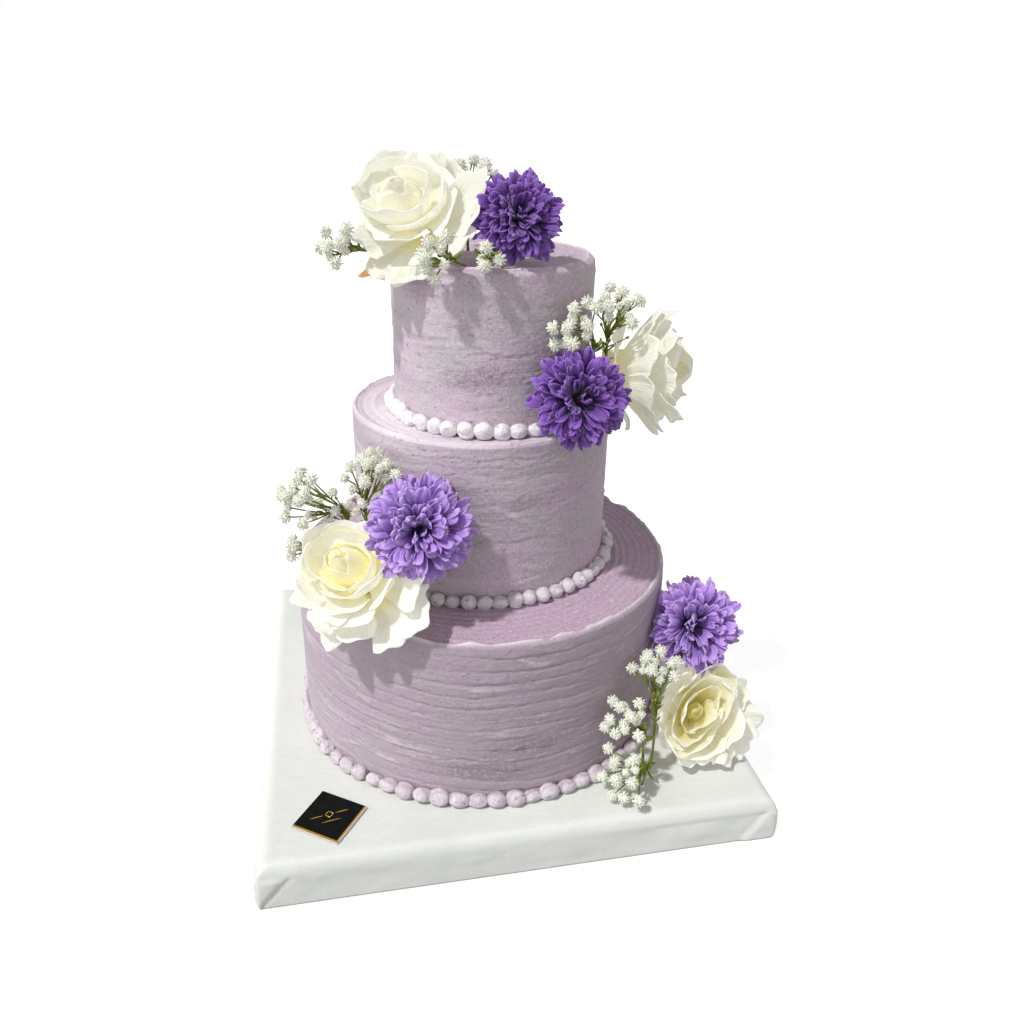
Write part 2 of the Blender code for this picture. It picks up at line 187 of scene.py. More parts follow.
def setSockets(holder, values):
    for socket, value in values.items():
        holder.inputs[socket].default_value = value


def newFinish(name, roughness, specular):
    # a new material with its shader and its place in the piece
    material = bpy.data.materials.new(name)
    material.use_nodes = True
    shader = material.node_tree.nodes["Principled BSDF"]
    setSockets(shader, {"Roughness": roughness, "Specular IOR Level": specular})
    return material, shader, node(material, "ShaderNodeTexCoord").outputs["Object"]


def setOrLink(material, socket, value):
    # a socket takes a number, a colour or what another node gives
    if isinstance(value, (int, float)):
        socket.default_value = value
    elif isinstance(value, tuple):
        socket.default_value = (*value, 1)
    else:
        link(material, value, socket)


def layerValue(material, layer):
    return node(material, "ShaderNodeAttribute", attribute_name=layer).outputs["Fac"]


def noiseField(material, place, scale, detail=3.0, rough=0.55):
    made = node(material, "ShaderNodeTexNoise")
    for socket, value in (("Scale", scale), ("Detail", detail), ("Roughness", rough), ("Vector", place)):
        setOrLink(material, made.inputs[socket], value)
    return made.outputs["Fac"]


def stretch(material, place, sizes):
    made = node(material, "ShaderNodeMapping")
    made.inputs["Scale"].default_value = sizes
    link(material, place, made.inputs["Vector"])
    return made.outputs["Vector"]


def times(material, first, second):
    made = node(material, "ShaderNodeMath", operation="MULTIPLY")
    setOrLink(material, made.inputs[0], first)
    setOrLink(material, made.inputs[1], second)
    return made.outputs[0]


def joinAxes(material, *values):
    made = node(material, "ShaderNodeCombineXYZ")
    for socket, value in zip(made.inputs, values):
        link(material, value, socket)
    return made.outputs[0]


def blendColour(material, share, first, second, mode="MIX"):
    made = node(material, "ShaderNodeMix", data_type="RGBA", blend_type=mode)
    made.clamp_factor = True
    for number, value in ((0, share), (6, first), (7, second)):
        setOrLink(material, made.inputs[number], value)
    return made.outputs[2]


def timesGrey(material, colour, value):
    # the colour, darker or lighter by one number at each place
    grey = node(material, "ShaderNodeCombineColor")
    for channel in range(3):
        link(material, value, grey.inputs[channel])
    return blendColour(material, 1.0, colour, grey.outputs[0], "MULTIPLY")


def rescale(material, value, fromLow, fromHigh, toLow=0.0, toHigh=1.0):
    made = node(material, "ShaderNodeMapRange")
    for socket, number in zip(list(made.inputs)[:5], (value, fromLow, fromHigh, toLow, toHigh)):
        setOrLink(material, socket, number)
    return made.outputs[0]


def noiseShare(material, place, scale, detail, low=0.3, high=0.7, toLow=0.0, toHigh=1.0, rough=0.55):
    # noise whose middle part is spread from toLow to toHigh
    return rescale(material, noiseField(material, place, scale, detail, rough), low, high, toLow, toHigh)


def layerTint(material, layer, colour, tint, low=0.0, high=1.0, most=1.0):
    # leans to the tint as a layer of the mesh goes from low to high
    share = rescale(material, layerValue(material, layer), low, high, 0.0, most)
    return blendColour(material, share, colour, tint)


def addBump(material, height, distance, strength=1.0, below=None):
    made = node(material, "ShaderNodeBump")
    setSockets(made, {"Strength": strength, "Distance": distance * mm})
    link(material, height, made.inputs["Height"])
    if below is not None:
        link(material, below, made.inputs["Normal"])
    return made.outputs["Normal"]


def layBumps(material, shader, *bumps):
    # each has a height, a depth and, where it isn't full, a strength, and lies on the one before
    normal = None
    for bump in bumps:
        normal = addBump(material, *bump, below=normal)
    link(material, normal, shader.inputs["Normal"])


def mottledFinish(name, look):
    # two close tints in soft clouds, with a fine grain
    material, shader, place = newFinish(name, look["roughness"], look["specular"])
    colour = blendColour(material, noiseShare(material, place, *look["clouds"]), *look["tints"])
    link(material, colour, shader.inputs["Base Color"])
    if "grain" in look:
        scale, detail, depth = look["grain"]
        layBumps(material, shader, (noiseField(material, place, scale, detail), depth))
    if "glow" in look:
        link(material, colour, shader.inputs["Emission Color"])
        setSockets(shader, {"Emission Strength": look["glow"]})
    setSockets(shader, look.get("sockets", {}))
    return material


# buttercream: matte, a little uneven in tint, with spatula streaks, grain and small pits

def icingFinish(name, look):
    material, shader, place = newFinish(name, look["roughness"], 0.3)
    patches = noiseShare(material, place, 38, 3, 0.35, 0.65)
    colour = blendColour(material, patches, look["pinker"], look["greyer"])
    colour = layerTint(material, "flat", colour, look["flat"])
    speckle = noiseShare(material, place, 640, 4, 0.33, 0.67, *look["speckle"], rough=0.8)
    colour = timesGrey(material, colour, speckle)
    # painted shade: a darker tint on one side of each tier
    colour = layerTint(material, "dull", colour, look["dull"])
    # painted shade darkens the grooves between the comb ridges
    colour = layerTint(material, "relief", colour, look["recessShade"], 0.1, -1.0, look["grooveShadeShare"])
    # painted highlight lightens the crests of the comb ridges
    colour = layerTint(material, "relief", colour, look["lip"], 0.72, 1.0, look["crestHighlightShare"])
    # the pale lip at the rim, with the painted light of the paler walls in the same layer
    colour = layerTint(material, "lip", colour, look["lip"])
    # small pale flecks where the scraper tore the surface
    flecks = noiseShare(material, stretch(material, place, (1, 1, 2.4)), 250, 4, 0.60, 0.70, rough=0.6)
    colour = blendColour(material, rescale(material, flecks, 0, 1, 0, look["fleckTint"]), colour, look["lip"])
    holes = noiseField(material, place, 330, 1)
    # painted shade darkens the pits
    pitShadeShare = rescale(material, holes, 0.66, 0.76, 0.0, look["pitShadeShare"])
    colour = blendColour(material, pitShadeShare, colour, look["recessShade"])
    link(material, colour, shader.inputs["Base Color"])
    # streaks that follow the strokes of the spatula
    split = node(material, "ShaderNodeSeparateXYZ")
    link(material, place, split.inputs[0])
    around = [times(material, split.outputs[axis], 45) for axis in range(2)]
    streakPlace = joinAxes(material, *around, layerValue(material, "stroke"))
    # crumbs dragged out of the torn patches
    crumbs = noiseShare(material, place, 330, 5, 0.44, 0.58, rough=0.7)
    torn = times(material, crumbs, layerValue(material, "torn"))
    layBumps(material, shader,
             (noiseField(material, streakPlace, 1.0, 4, 0.6), look["streakDepth"]),
             (noiseField(material, place, 420), look["lumpDepth"]),
             (rescale(material, holes, 0.64, 0.74, 1.0, 0.0), look["pitDepth"]),
             (flecks, look["fleckDepth"]),
             (torn, look["crumbDepth"]),
             (noiseField(material, place, 620, 3, 0.7), look["grainDepth"]))
    setSockets(shader, {"Subsurface Weight": 0.1, "Subsurface Radius": (1.0, 0.7, 0.8),
                        "Subsurface Scale": 2.0 * mm})
    return material


# the lip tint is the pale dry icing at the rim and in the flecks, and also the painted highlight on the
# crests and the painted light on the left walls; the recess tint and the side tint are painted shade
lavenderLook = {"roughness": 0.74, "pinker": (0.53, 0.388, 0.50), "greyer": (0.465, 0.42, 0.46),
                "recessShade": (0.36, 0.26, 0.35), "grooveShadeShare": 0.55, "lip": (0.73, 0.66, 0.72),
                "dull": (0.395, 0.315, 0.380), "crestHighlightShare": 0.4, "pitShadeShare": 0.6,
                "flat": (0.490, 0.362, 0.468), "streakDepth": 0.30, "lumpDepth": 0.30, "pitDepth": 0.18,
                "grainDepth": 0.30, "fleckTint": 0.42, "fleckDepth": 0.13, "crumbDepth": 0.75,
                "speckle": (0.72, 1.26)}
pearlLook = {"roughness": 0.66, "pinker": (0.65, 0.575, 0.635), "greyer": (0.63, 0.585, 0.63),
             "recessShade": (0.42, 0.31, 0.40), "grooveShadeShare": 0.7, "lip": (0.84, 0.80, 0.84),
             "dull": (0.4, 0.3, 0.38), "crestHighlightShare": 0.2, "pitShadeShare": 0.8,
             "flat": (0.64, 0.57, 0.62), "streakDepth": 1.1, "lumpDepth": 0.8, "pitDepth": 0.5,
             "grainDepth": 0.3, "fleckTint": 0.3, "fleckDepth": 0.3, "crumbDepth": 0.75,
             "speckle": (0.85, 1.12)}


# the three iced tiers: combed walls, a scraped lip round the rim, rings on the ledge

# the pale share is painted light on the walls, strongest on the left where the lamps fall; on the ledge it is
# partly paler icing and partly painted light
# "covered" is how far out the tier above hides the ledge
# the painted side shade is a darker tint that stands for shade on the wall: its least share, its swing and
# the side where it peaks, in degrees
# "torn" has degrees, height, spread along and up the wall, and count; "cracks" degrees, height, length, depth
tiers = {
    "tier_bottom": {"centre": (-4.6, -4.1), "radius": 118.0, "foot": 27.0, "top": 135.8,
                    "columns": 520, "wallStep": 0.92, "ridges": 14, "ridgeDepth": 0.95, "ridgeDrift": 0.8,
                    "streaks": 0.26, "waver": 0.45, "rimRound": 1.6, "lip": 1.5, "lipRagged": 0.85,
                    "rings": 0.55, "covered": 76, "smears": 44, "pits": 120,
                    "pale": 0.06, "paleLedge": 0.0, "dull": (0.10, 0.76, 285),
                    "torn": [(262, 50, 26, 5, 26), (275, 66, 20, 4, 18)],
                    "cracks": [(255, 58, 30, 0.5), (292, 76, 22, 0.4)]},
    "tier_middle": {"centre": (-4.6, -0.6), "radius": 78.2, "foot": 135.2, "top": 233.9,
                    "columns": 400, "wallStep": 0.95, "ridges": 5, "ridgeDepth": 0.24, "ridgeDrift": 0.9,
                    "streaks": 0.12, "waver": 0.45, "rimRound": 1.8, "lip": 1.2, "lipRagged": 0.5,
                    "rings": 0.32, "covered": 55, "smears": 46, "pits": 26,
                    "pale": 0.46, "paleLedge": 1.0, "dull": (0.42, -0.42, 340),
                    "torn": [(280, 200, 10, 3, 8)],
                    "cracks": [(265, 226, 60, 0.35), (262, 221, 44, 0.3), (285, 214, 26, 0.25),
                               (278, 176, 16, 0.3)]},
    "tier_top": {"centre": (0.3, -6.0), "radius": 57.8, "foot": 233.3, "top": 322.5,
                 "columns": 350, "wallStep": 0.9, "ridges": 3, "ridgeDepth": 0.25, "ridgeDrift": 0.9,
                 "streaks": 0.08, "waver": 0.4, "rimRound": 3.2, "lip": 0.9, "lipRagged": 0.4,
                 "rings": 0.28, "covered": 0, "smears": 26, "pits": 34,
                 "pale": 0.32, "paleLedge": 0.35, "dull": (0.0, 0.0, 340),
                 "torn": [(246, 264, 13, 3.5, 34), (262, 268, 8, 3, 10)],
                 "cracks": [(262, 279, 24, 0.4), (246, 270, 14, 0.25)]},
}
ledgeSteps = {"bendRows": 6, "fine": 0.62, "fineFor": 7, "middling": 1.3, "hidden": 9.0,
              "innermost": 0.7, "closeWithin": 1.5}


def tierProfile(tier):
    # rows of radius, height, outward normal, way along the profile and share of wall, from foot to middle
    radius, foot, top, bend = tier["radius"], tier["foot"], tier["top"], tier["rimRound"]
    rows = []
    wall = top - bend - foot
    wallRows = int(wall / tier["wallStep"])
    for step in range(wallRows + 1):
        height = wall * step / wallRows
        rows.append((radius, foot + height, 1.0, 0.0, height, 1.0))
    for step in range(1, ledgeSteps["bendRows"] + 1):
        share = step / ledgeSteps["bendRows"]
        turn = share * math.pi / 2
        rows.append((radius - bend + bend * math.cos(turn), top - bend + bend * math.sin(turn),
                     math.cos(turn), math.sin(turn), wall + bend * turn, 1 - share))
    rimAt = wall + bend * math.pi / 2
    out = radius - bend
    along = rimAt
    while out > ledgeSteps["closeWithin"]:
        if out > radius - ledgeSteps["fineFor"]:
            step = ledgeSteps["fine"]
        elif out > tier["covered"] - 3:
            step = ledgeSteps["middling"]
        else:
            step = ledgeSteps["hidden"]
        step = min(step, out - ledgeSteps["innermost"])
        out -= step
        along += step
        rows.append((out, top, 0.0, 1.0, along, 0.0))
    return np.array(rows), rimAt


def combRidges(phase, depth):
    # broad flat ridges with a narrow groove between them
    across = np.abs(2 * np.mod(phase, 1.0) - 1)
    return depth * (0.45 - across ** 6 + 0.4 * np.clip(across - 0.5, 0, 0.25))


def wallGap(tier, angle, at):
    # millimetres along the wall from one of its angles
    return turnGap(angle, at) * tier["radius"]


def smearMarks(tier, angle, height, rng):
    # short drags of the spatula: a low ridge beside a shallow trough, mostly level
    relief = np.zeros(np.broadcast(angle, height).shape)
    for mark in range(tier["smears"]):
        at = rng.uniform(0, fullTurn)
        level = rng.uniform(tier["foot"] + 8, tier["top"] - 6)
        tilt = rng.uniform(-0.5, 0.5) ** 3 * 4
        length = rng.uniform(8, 24)
        width = rng.uniform(0.8, 1.9)
        across = wallGap(tier, angle, at)
        along = across * math.cos(tilt) + (height - level) * math.sin(tilt)
        over = -across * math.sin(tilt) + (height - level) * math.cos(tilt)
        relief += (np.exp(-(over / width) ** 2) - 0.8 * np.exp(-((over - 2 * width) / width) ** 2)) \
            * np.exp(-(along / length) ** 2) * rng.uniform(0.2, 0.5)
    return relief


def pitMarks(tier, angle, height, rng):
    # air bubbles torn open by the scraper
    relief = np.zeros(np.broadcast(angle, height).shape)
    for mark in range(tier["pits"]):
        at = rng.uniform(0, fullTurn)
        level = rng.uniform(tier["foot"] + 8, tier["top"] - 5)
        wide = rng.uniform(0.7, 1.8)
        high = rng.uniform(0.5, 1.0)
        across = wallGap(tier, angle, at)
        relief -= np.exp(-(across / wide) ** 2 - ((height - level) / high) ** 2) * rng.uniform(0.4, 1.0)
    # patches dragged rough, and long thin cracks
    for at, level, alongWall, upWall, count in tier["torn"]:
        for mark in range(count):
            here = math.radians(at) + rng.gauss(0, alongWall) / tier["radius"]
            high = level + rng.gauss(0, upWall)
            across = wallGap(tier, angle, here)
            size = rng.uniform(0.6, 1.3)
            relief += np.exp(-(across / size / 1.4) ** 2 - ((height - high) / size * 1.3) ** 2) \
                * rng.choice((-0.5, 0.35)) * rng.uniform(0.4, 1.0)
    for at, level, length, depth in tier["cracks"]:
        across = wallGap(tier, angle, math.radians(at))
        bent = height - level - 0.9 * np.sin(across * 0.21 + level) - 0.4 * np.sin(across * 0.9)
        relief += depth * (0.8 * np.exp(-((bent - 1.0) / 0.8) ** 2) - np.exp(-(bent / 0.7) ** 2)) \
            * np.exp(-(across / length) ** 4)
    return relief


def tornMask(tier, angle, height, seed):
    # where the icing is torn into crumbs: the patches above, and a few specks elsewhere
    share = angle / fullTurn
    up = (height - tier["foot"]) / (tier["top"] - tier["foot"])
    mask = 0.5 * np.clip(softNoise(share, up, 34, 22, seed) - 0.55, 0, 1)
    for at, level, alongWall, upWall, count in tier["torn"]:
        across = wallGap(tier, angle, math.radians(at))
        mask = mask + 0.9 * np.exp(-(across / alongWall / 1.3) ** 2 - ((height - level) / upWall / 1.4) ** 2)
    return np.clip(mask, 0, 1)


def combedRelief(tier, share, along, rimAt, seed):
    # the comb's ridges wander up and down and fade out below the rim
    up = along / along[-1, 0]
    drift = tier["ridgeDrift"] * softNoise(share, up, 5, 3, seed) \
        + 0.18 * softNoise(share, up, 17, 9, seed + 1) + 0.07 * softNoise(share, up, 110, 60, seed + 13)
    strength = 0.85 + 0.45 * softNoise(share, up, 9, 12, seed + 2) \
        + 0.3 * softNoise(share, up, 40, 26, seed + 14)
    ridges = combRidges(along / rimAt * tier["ridges"] + drift, tier["ridgeDepth"])
    return ridges * strength * np.clip((rimAt - along) / 8, 0, 1)


def lipRelief(tier, share, along, rimAt, seed):
    # icing pushed over the rim by the scraper
    ragged = 1 + tier["lipRagged"] * (softNoise(share, 0, 70, 1, seed + 9)
                                      + 0.6 * softNoise(share, 0, 190, 1, seed + 10))
    lipAt = rimAt + 0.2 + 0.7 * softNoise(share, 0, 23, 1, seed + 11)
    return tier["lip"] * ragged * np.exp(-((along - lipAt) / 0.85) ** 2)


def makeTier(name, tier, seed, material):
    rng = random.Random(seed)
    rows, rimAt = tierProfile(tier)
    radius, height, outward, upward, along, wall = (rows[:, [k]] for k in range(6))
    share = np.arange(tier["columns"])[None, :] / tier["columns"]
    angle = share * fullTurn
    up = along / along[-1, 0]
    ridges = combedRelief(tier, share, along, rimAt, seed)
    streaks = tier["streaks"] * (0.6 * softNoise(share, up, 11, 64, seed + 3)
                                 + 0.35 * softNoise(share, up, 31, 120, seed + 4))
    grain = 0.09 * softNoise(share, up, tier["columns"] // 2, 130, seed + 5) \
        + 0.09 * softNoise(share, up, tier["columns"] // 5, 60, seed + 15)
    waver = tier["waver"] * softNoise(share, up, 7, 4, seed + 6)
    marks = (smearMarks(tier, angle, height, rng) + pitMarks(tier, angle, height, rng)) * wall
    rings = tier["rings"] * np.sin((along - rimAt) * 1.35 + 2.2 * softNoise(share, up, 6, 8, seed + 7)) \
        * (0.6 + 0.4 * softNoise(share, up, 9, 40, seed + 8)) * (1 - wall)
    lip = lipRelief(tier, share, along, rimAt, seed)
    relief = ridges + streaks * (0.35 + 0.65 * wall) + grain + marks + rings
    push = relief + waver + lip
    out = radius + outward * push
    grid = np.stack([tier["centre"][0] + out * np.cos(angle),
                     tier["centre"][1] + out * np.sin(angle),
                     height + upward * push], axis=-1)
    # the layers that colour the icing
    smear = 0.7 + 0.5 * softNoise(share, up, 13, 34, seed + 16)
    litLeft = 0.5 + 0.5 * np.cos(angle - math.radians(200))   # painted light: the left side, where the lamps fall, is paler
    # painted light: the walls are paler on the left; the ledge is paler partly from paler icing and partly as
    # painted light
    pale = (tier["pale"] * wall * litLeft ** 2 * 1.3 + tier["paleLedge"] * (1 - wall)) * smear
    # painted shade: a darker tint, strongest on one side of the wall
    dullLeast, dullSwing, dullAt = tier["dull"]
    dull = (dullLeast + dullSwing * (0.5 + 0.5 * np.cos(angle - math.radians(dullAt)))) * wall
    onLip = np.clip(lip / tier["lip"], 0, 1) ** 0.8 * 0.9
    bunch = newBunch("stroke", "relief", "lip", "flat", "dull", "torn")
    addGrid(bunch, grid, wrap=True, closeStart=True, closeEnd=True,
            stroke=(along + 2.0 * softNoise(share, up, 4, 5, seed + 12)) * 1.1,
            relief=np.clip(relief / 0.7, -1, 1), lip=np.clip(np.maximum(onLip, pale), 0, 1), flat=1 - wall,
            dull=np.clip(dull, 0, 1), torn=tornMask(tier, angle, height, seed + 17) * wall)
    piece = makePiece(name + "_icing", bunch, name, [material])
    print("iced", name, len(piece.data.polygons), "faces")


# piped pearls round the foot of each tier

pearlRows = {
    "pearls_bottom": {"tier": "tier_bottom", "base": 27.5, "count": 70,
                      "size": 8.6, "high": 8.4, "pale": 0.0},
    "pearls_middle": {"tier": "tier_middle", "base": 135.8, "count": 57,
                      "size": 8.4, "high": 8.6, "pale": 0.3},
    "pearls_top": {"tier": "tier_top", "base": 233.9, "count": 40,
                   "size": 8.6, "high": 8.6, "pale": 0.95},
}
# some pearls at the left are smeared: their side in degrees, then wider, shallower, higher and less grooved
pearlHabit = {"uneven": 0.14, "swirl": 0.8, "crumple": 0.42, "dent": 1.0, "peak": 1.0,
              "smearedFrom": 150, "smearedTo": 205, "smearedShape": (1.25, 0.72, 1.12, 0.5), "sink": 0.8}


def makePearls(name, pearls, material):
    rng = random.Random(name)
    tier = tiers[pearls["tier"]]
    pitch = fullTurn * (tier["radius"] + pearls["size"] * 0.45) / pearls["count"]
    bunch = newBunch("stroke", "relief", "lip", "flat")
    rows, cols = 14, 20
    polar = np.linspace(0.04, 0.98, rows)[:, None] * math.pi
    turn = turnsRound(cols)
    for pearl in range(pearls["count"]):
        angle = (pearl + 0.5 + rng.uniform(-0.08, 0.08)) / pearls["count"] * fullTurn
        size = 1 + rng.uniform(-pearlHabit["uneven"], pearlHabit["uneven"])
        degrees = math.degrees(angle) % 360
        smeared = pearlHabit["smearedFrom"] < degrees < pearlHabit["smearedTo"]
        wider, deeper, higher, grooved = pearlHabit["smearedShape"] if smeared else (1, 1, 1, 1)
        wide = pitch * 0.56 * (1 + rng.uniform(-0.05, 0.07)) * wider
        deep = pearls["size"] * 0.52 * size * deeper
        high = pearls["high"] * 0.53 * size * higher
        lean = rng.uniform(-0.35, 0.35)
        twist = rng.uniform(0, 6.28)
        swirl = np.abs(np.sin(turn / 2 + twist + polar * rng.uniform(1.6, 3.0)))
        groove = pearlHabit["swirl"] * (swirl - 0.7) * np.sin(polar) \
            + 0.16 * np.sin(2 * turn + twist * 1.7 - polar * 4.0) * np.sin(polar)
        lumps = pearlHabit["crumple"] * (softNoise(turn / fullTurn, polar / math.pi, 5, 4, 100 + pearl)
                                         * np.sin(polar) ** 0.5)
        for dent in range(2):
            dentTurn, dentPolar = rng.uniform(0, 6.28), rng.uniform(0.3, 1.2)
            gap = (turnGap(turn, dentTurn) * np.sin(polar)) ** 2 + (polar - dentPolar) ** 2
            lumps = lumps - pearlHabit["dent"] * rng.uniform(0.3, 1) * np.exp(-gap / 0.045)
        relief = groove * grooved + lumps
        peak = pearlHabit["peak"] * np.exp(-(polar / 0.42) ** 2) * (0.3 if smeared else rng.uniform(0.3, 1.0))
        along = np.sin(polar) * np.cos(turn) * (wide + relief)
        over = np.sin(polar) * np.sin(turn) * (high + relief)
        outward = np.cos(polar) * (deep + relief * 0.5) + peak
        # the tip leans a little up, as the nozzle was pulled away
        tilt = 0.42 + rng.uniform(-0.2, 0.2)
        rise = over * math.cos(tilt) + outward * math.sin(tilt)
        outward = outward * math.cos(tilt) - over * math.sin(tilt)
        along = along + outward * lean * 0.25
        place = tier["radius"] + deep * 0.72 + rng.uniform(-0.25, 0.25)
        level = pearls["base"] + high - pearlHabit["sink"]
        lift = np.maximum(level + rise, pearls["base"] + 0.05)
        out = place + outward
        x = tier["centre"][0] + out * math.cos(angle) - along * math.sin(angle)
        y = tier["centre"][1] + out * math.sin(angle) + along * math.cos(angle)
        addGrid(bunch, np.stack([x, y, lift], axis=-1), wrap=True, closeStart=True, closeEnd=True,
                stroke=polar * 5 + 1.6 * np.sin(turn + twist), relief=np.clip(relief * 1.4, -1, 1) - 0.1,
                lip=np.clip(np.exp(-(polar / 0.9) ** 2) * 0.35 + pearls["pale"], 0, 1), flat=0.0)
    makePiece(name + "_piping", bunch, name, [material])
    print("piped", name, pearls["count"], "pearls")


# the square board in its white paper

boardWrap = {"side": 305.0, "thick": 27.5, "edge": 9.5, "corner": 3.4, "waver": 0.25,
             "flapStep": 0.9, "dent": 0.8, "frontLean": 2.4, "shrink": 0.6,
             "topSteps": (1.6, 3.6), "fineTo": 14}


def paperFinish():
    material, shader, place = newFinish("white_wrapping_paper", 0.48, 0.4)
    clouds = noiseShare(material, place, 14, 3)
    colour = blendColour(material, clouds, (0.665, 0.688, 0.66), (0.72, 0.732, 0.705))
    colour = timesGrey(material, colour, noiseShare(material, place, 900, 3, toLow=0.95, toHigh=1.03))
    link(material, colour, shader.inputs["Base Color"])
    layBumps(material, shader,
             (noiseField(material, place, 26, 2), 1.6),
             (noiseField(material, stretch(material, place, (1, 3.2, 1)), 55), 0.5),
             (noiseField(material, place, 1400), 0.05))
    roughness = noiseShare(material, place, 60, 2, toLow=0.42, toHigh=0.6)
    link(material, roughness, shader.inputs["Roughness"])
    return material


def squareOutline(half, corner, perSide=76, perCorner=6):
    # points and outward directions round a square with small round corners, from the front left
    points, ways = [], []
    straight = half - corner
    for side in range(4):
        turn = side * math.pi / 2 - math.pi / 2
        outward = np.array([math.cos(turn), math.sin(turn)])
        along = np.array([-outward[1], outward[0]])
        for step in range(perSide + 1):
            share = 0.5 * (-1 + 2 * step / perSide) - 0.5 * math.cos(math.pi * step / perSide)
            points.append(outward * half + along * straight * share)
            ways.append(outward)
        centre = outward * straight + along * straight
        for step in range(1, perCorner):
            angle = turn + step / perCorner * math.pi / 2
            way = np.array([math.cos(angle), math.sin(angle)])
            points.append(centre + way * corner)
            ways.append(way)
    return np.array(points), np.array(ways)


def foldedFlap(along, height, wrap):
    # the gift-wrap fold: a triangle of paper folded back beside each corner, its edge at about 45 degrees
    half = wrap["side"] / 2
    fromCorner = half - np.abs(along)
    edge = fromCorner - np.where(along < 0, height * 0.9, (wrap["thick"] - height) * 0.85)
    flap = wrap["flapStep"] * (0.5 - 0.5 * np.tanh(edge / 0.9))
    crease = -0.7 * np.exp(-((edge - 1.4) / 1.3) ** 2)
    return (flap + crease) * np.clip((wrap["thick"] - wrap["edge"] * 0.5 - height) / 5, 0, 1)


def makeBoard(material):
    wrap = boardWrap
    half = wrap["side"] / 2
    outline, ways = squareOutline(half, wrap["corner"])
    count = len(outline)
    share = np.arange(count) / count
    side = np.where(np.abs(ways[:, 1]) > 0.99, outline[:, 0], outline[:, 1])
    towardsFront = np.clip(-ways[:, 1], 0, 1)
    straight = wrap["thick"] - wrap["edge"]   # height of the flat part of the sides
    bend = [(wrap["edge"] * (1 - math.cos(turn)), wrap["thick"] - wrap["edge"] * (1 - math.sin(turn)))
            for turn in np.linspace(0, math.pi / 2, 10)[1:]]
    steps = [(0.0, level) for level in np.linspace(0.4, straight, 18)] + bend
    inset = wrap["edge"]
    while inset < half - 2:
        inset += wrap["topSteps"][0 if inset < wrap["fineTo"] else 1]
        steps.append((min(inset, half - 1), wrap["thick"]))
    rings = []
    for inward, level in steps:
        ring = outline * (half - inward) / half
        lean = wrap["frontLean"] * min(level, straight) / wrap["thick"] * towardsFront
        if inward < 0.01:
            up = np.full(count, level / wrap["thick"])
            dent = wrap["dent"] * softNoise(share, up, 60, 3, 5) * 0.5 \
                + 0.25 * softNoise(share, up, 160, 6, 6)
            push = foldedFlap(side, level, wrap) + dent * math.sin(math.pi * level / wrap["thick"]) \
                - wrap["shrink"] - lean
            ring = ring + ways * push[:, None]
            height = np.full(count, level)
        else:
            fade = min(1.0, inward / 6)
            ring = ring - ways * ((wrap["shrink"] + lean) * (1 - fade))[:, None]
            x, y = ring[:, 0] / wrap["side"] + 0.5, ring[:, 1] / wrap["side"] + 0.5
            height = level - 0.25 + fade * wrap["waver"] * softNoise(x * 0.98, y, 9, 9, 7)
        rings.append(np.column_stack([ring, height]))
    bunch = newBunch()
    addGrid(bunch, np.array(rings), wrap=True, closeStart=True, closeEnd=True)
    makePiece("board_paper_wrap", bunch, "cake_board", [material])
    print("wrapped the board")


# silk flowers

def flowerFrame(flower):
    # right, up and outward as seen by someone the flower faces
    outward = unit(np.array(flower["faces"], float))
    up = unit(np.array([0, 0, 1.0]) - outward * outward[2])
    return np.array([np.cross(up, outward), up, outward])


def keepClear(points, room=0.5, icingRelief=0.8):
    # petals that meet icing or the board lie against it instead of going through
    flat = points.copy().reshape(-1, 3)
    for tier in tiers.values():
        away = flat[:, :2] - np.array(tier["centre"])
        far = np.linalg.norm(away, axis=1)
        sideways = tier["radius"] + room + icingRelief - far
        upwards = tier["top"] + room + icingRelief - flat[:, 2]
        inside = (sideways > 0) & (upwards > 0) & (flat[:, 2] > tier["foot"] - 1)
        goUp = inside & (upwards < sideways)
        goOut = inside & ~goUp
        flat[goUp, 2] += upwards[goUp]
        shift = away / np.maximum(far, 1e-6)[:, None] * sideways[:, None]
        flat[goOut, :2] += shift[goOut]
    onBoard = np.all(np.abs(flat[:, :2]) < boardWrap["side"] / 2, axis=1)
    low = boardWrap["thick"] + room
    flat[:, 2] = np.where(onBoard & (flat[:, 2] < low), low, flat[:, 2])
    return flat.reshape(points.shape)


def bezier(first, middle, last, share):
    first, middle, last = (np.array(v, float) for v in (first, middle, last))
    share = share[..., None]
    return (1 - share) ** 2 * first + 2 * share * (1 - share) * middle + share ** 2 * last


def toFlower(flower, frameOf, x, y, rise, follow, squash=False):
    # from the flower's own axes to the frame; the heart may sit off its middle, squashed and slanted
    if squash:
        wide, tall, slant = flower["squash"]
        x, y = x * wide, y * tall
        slant = math.radians(slant)
        x, y = x * math.cos(slant) + y * math.sin(slant), y * math.cos(slant) - x * math.sin(slant)
    heartX, heartY = flower["heart"]
    local = np.stack([x + heartX * follow, y + heartY * follow, rise + 0 * x], axis=-1)
    return keepClear(np.array(flower["centre"]) + local @ frameOf)


markCycle = 97   # a petal's mark picks its veins, and the marks come round again after this many


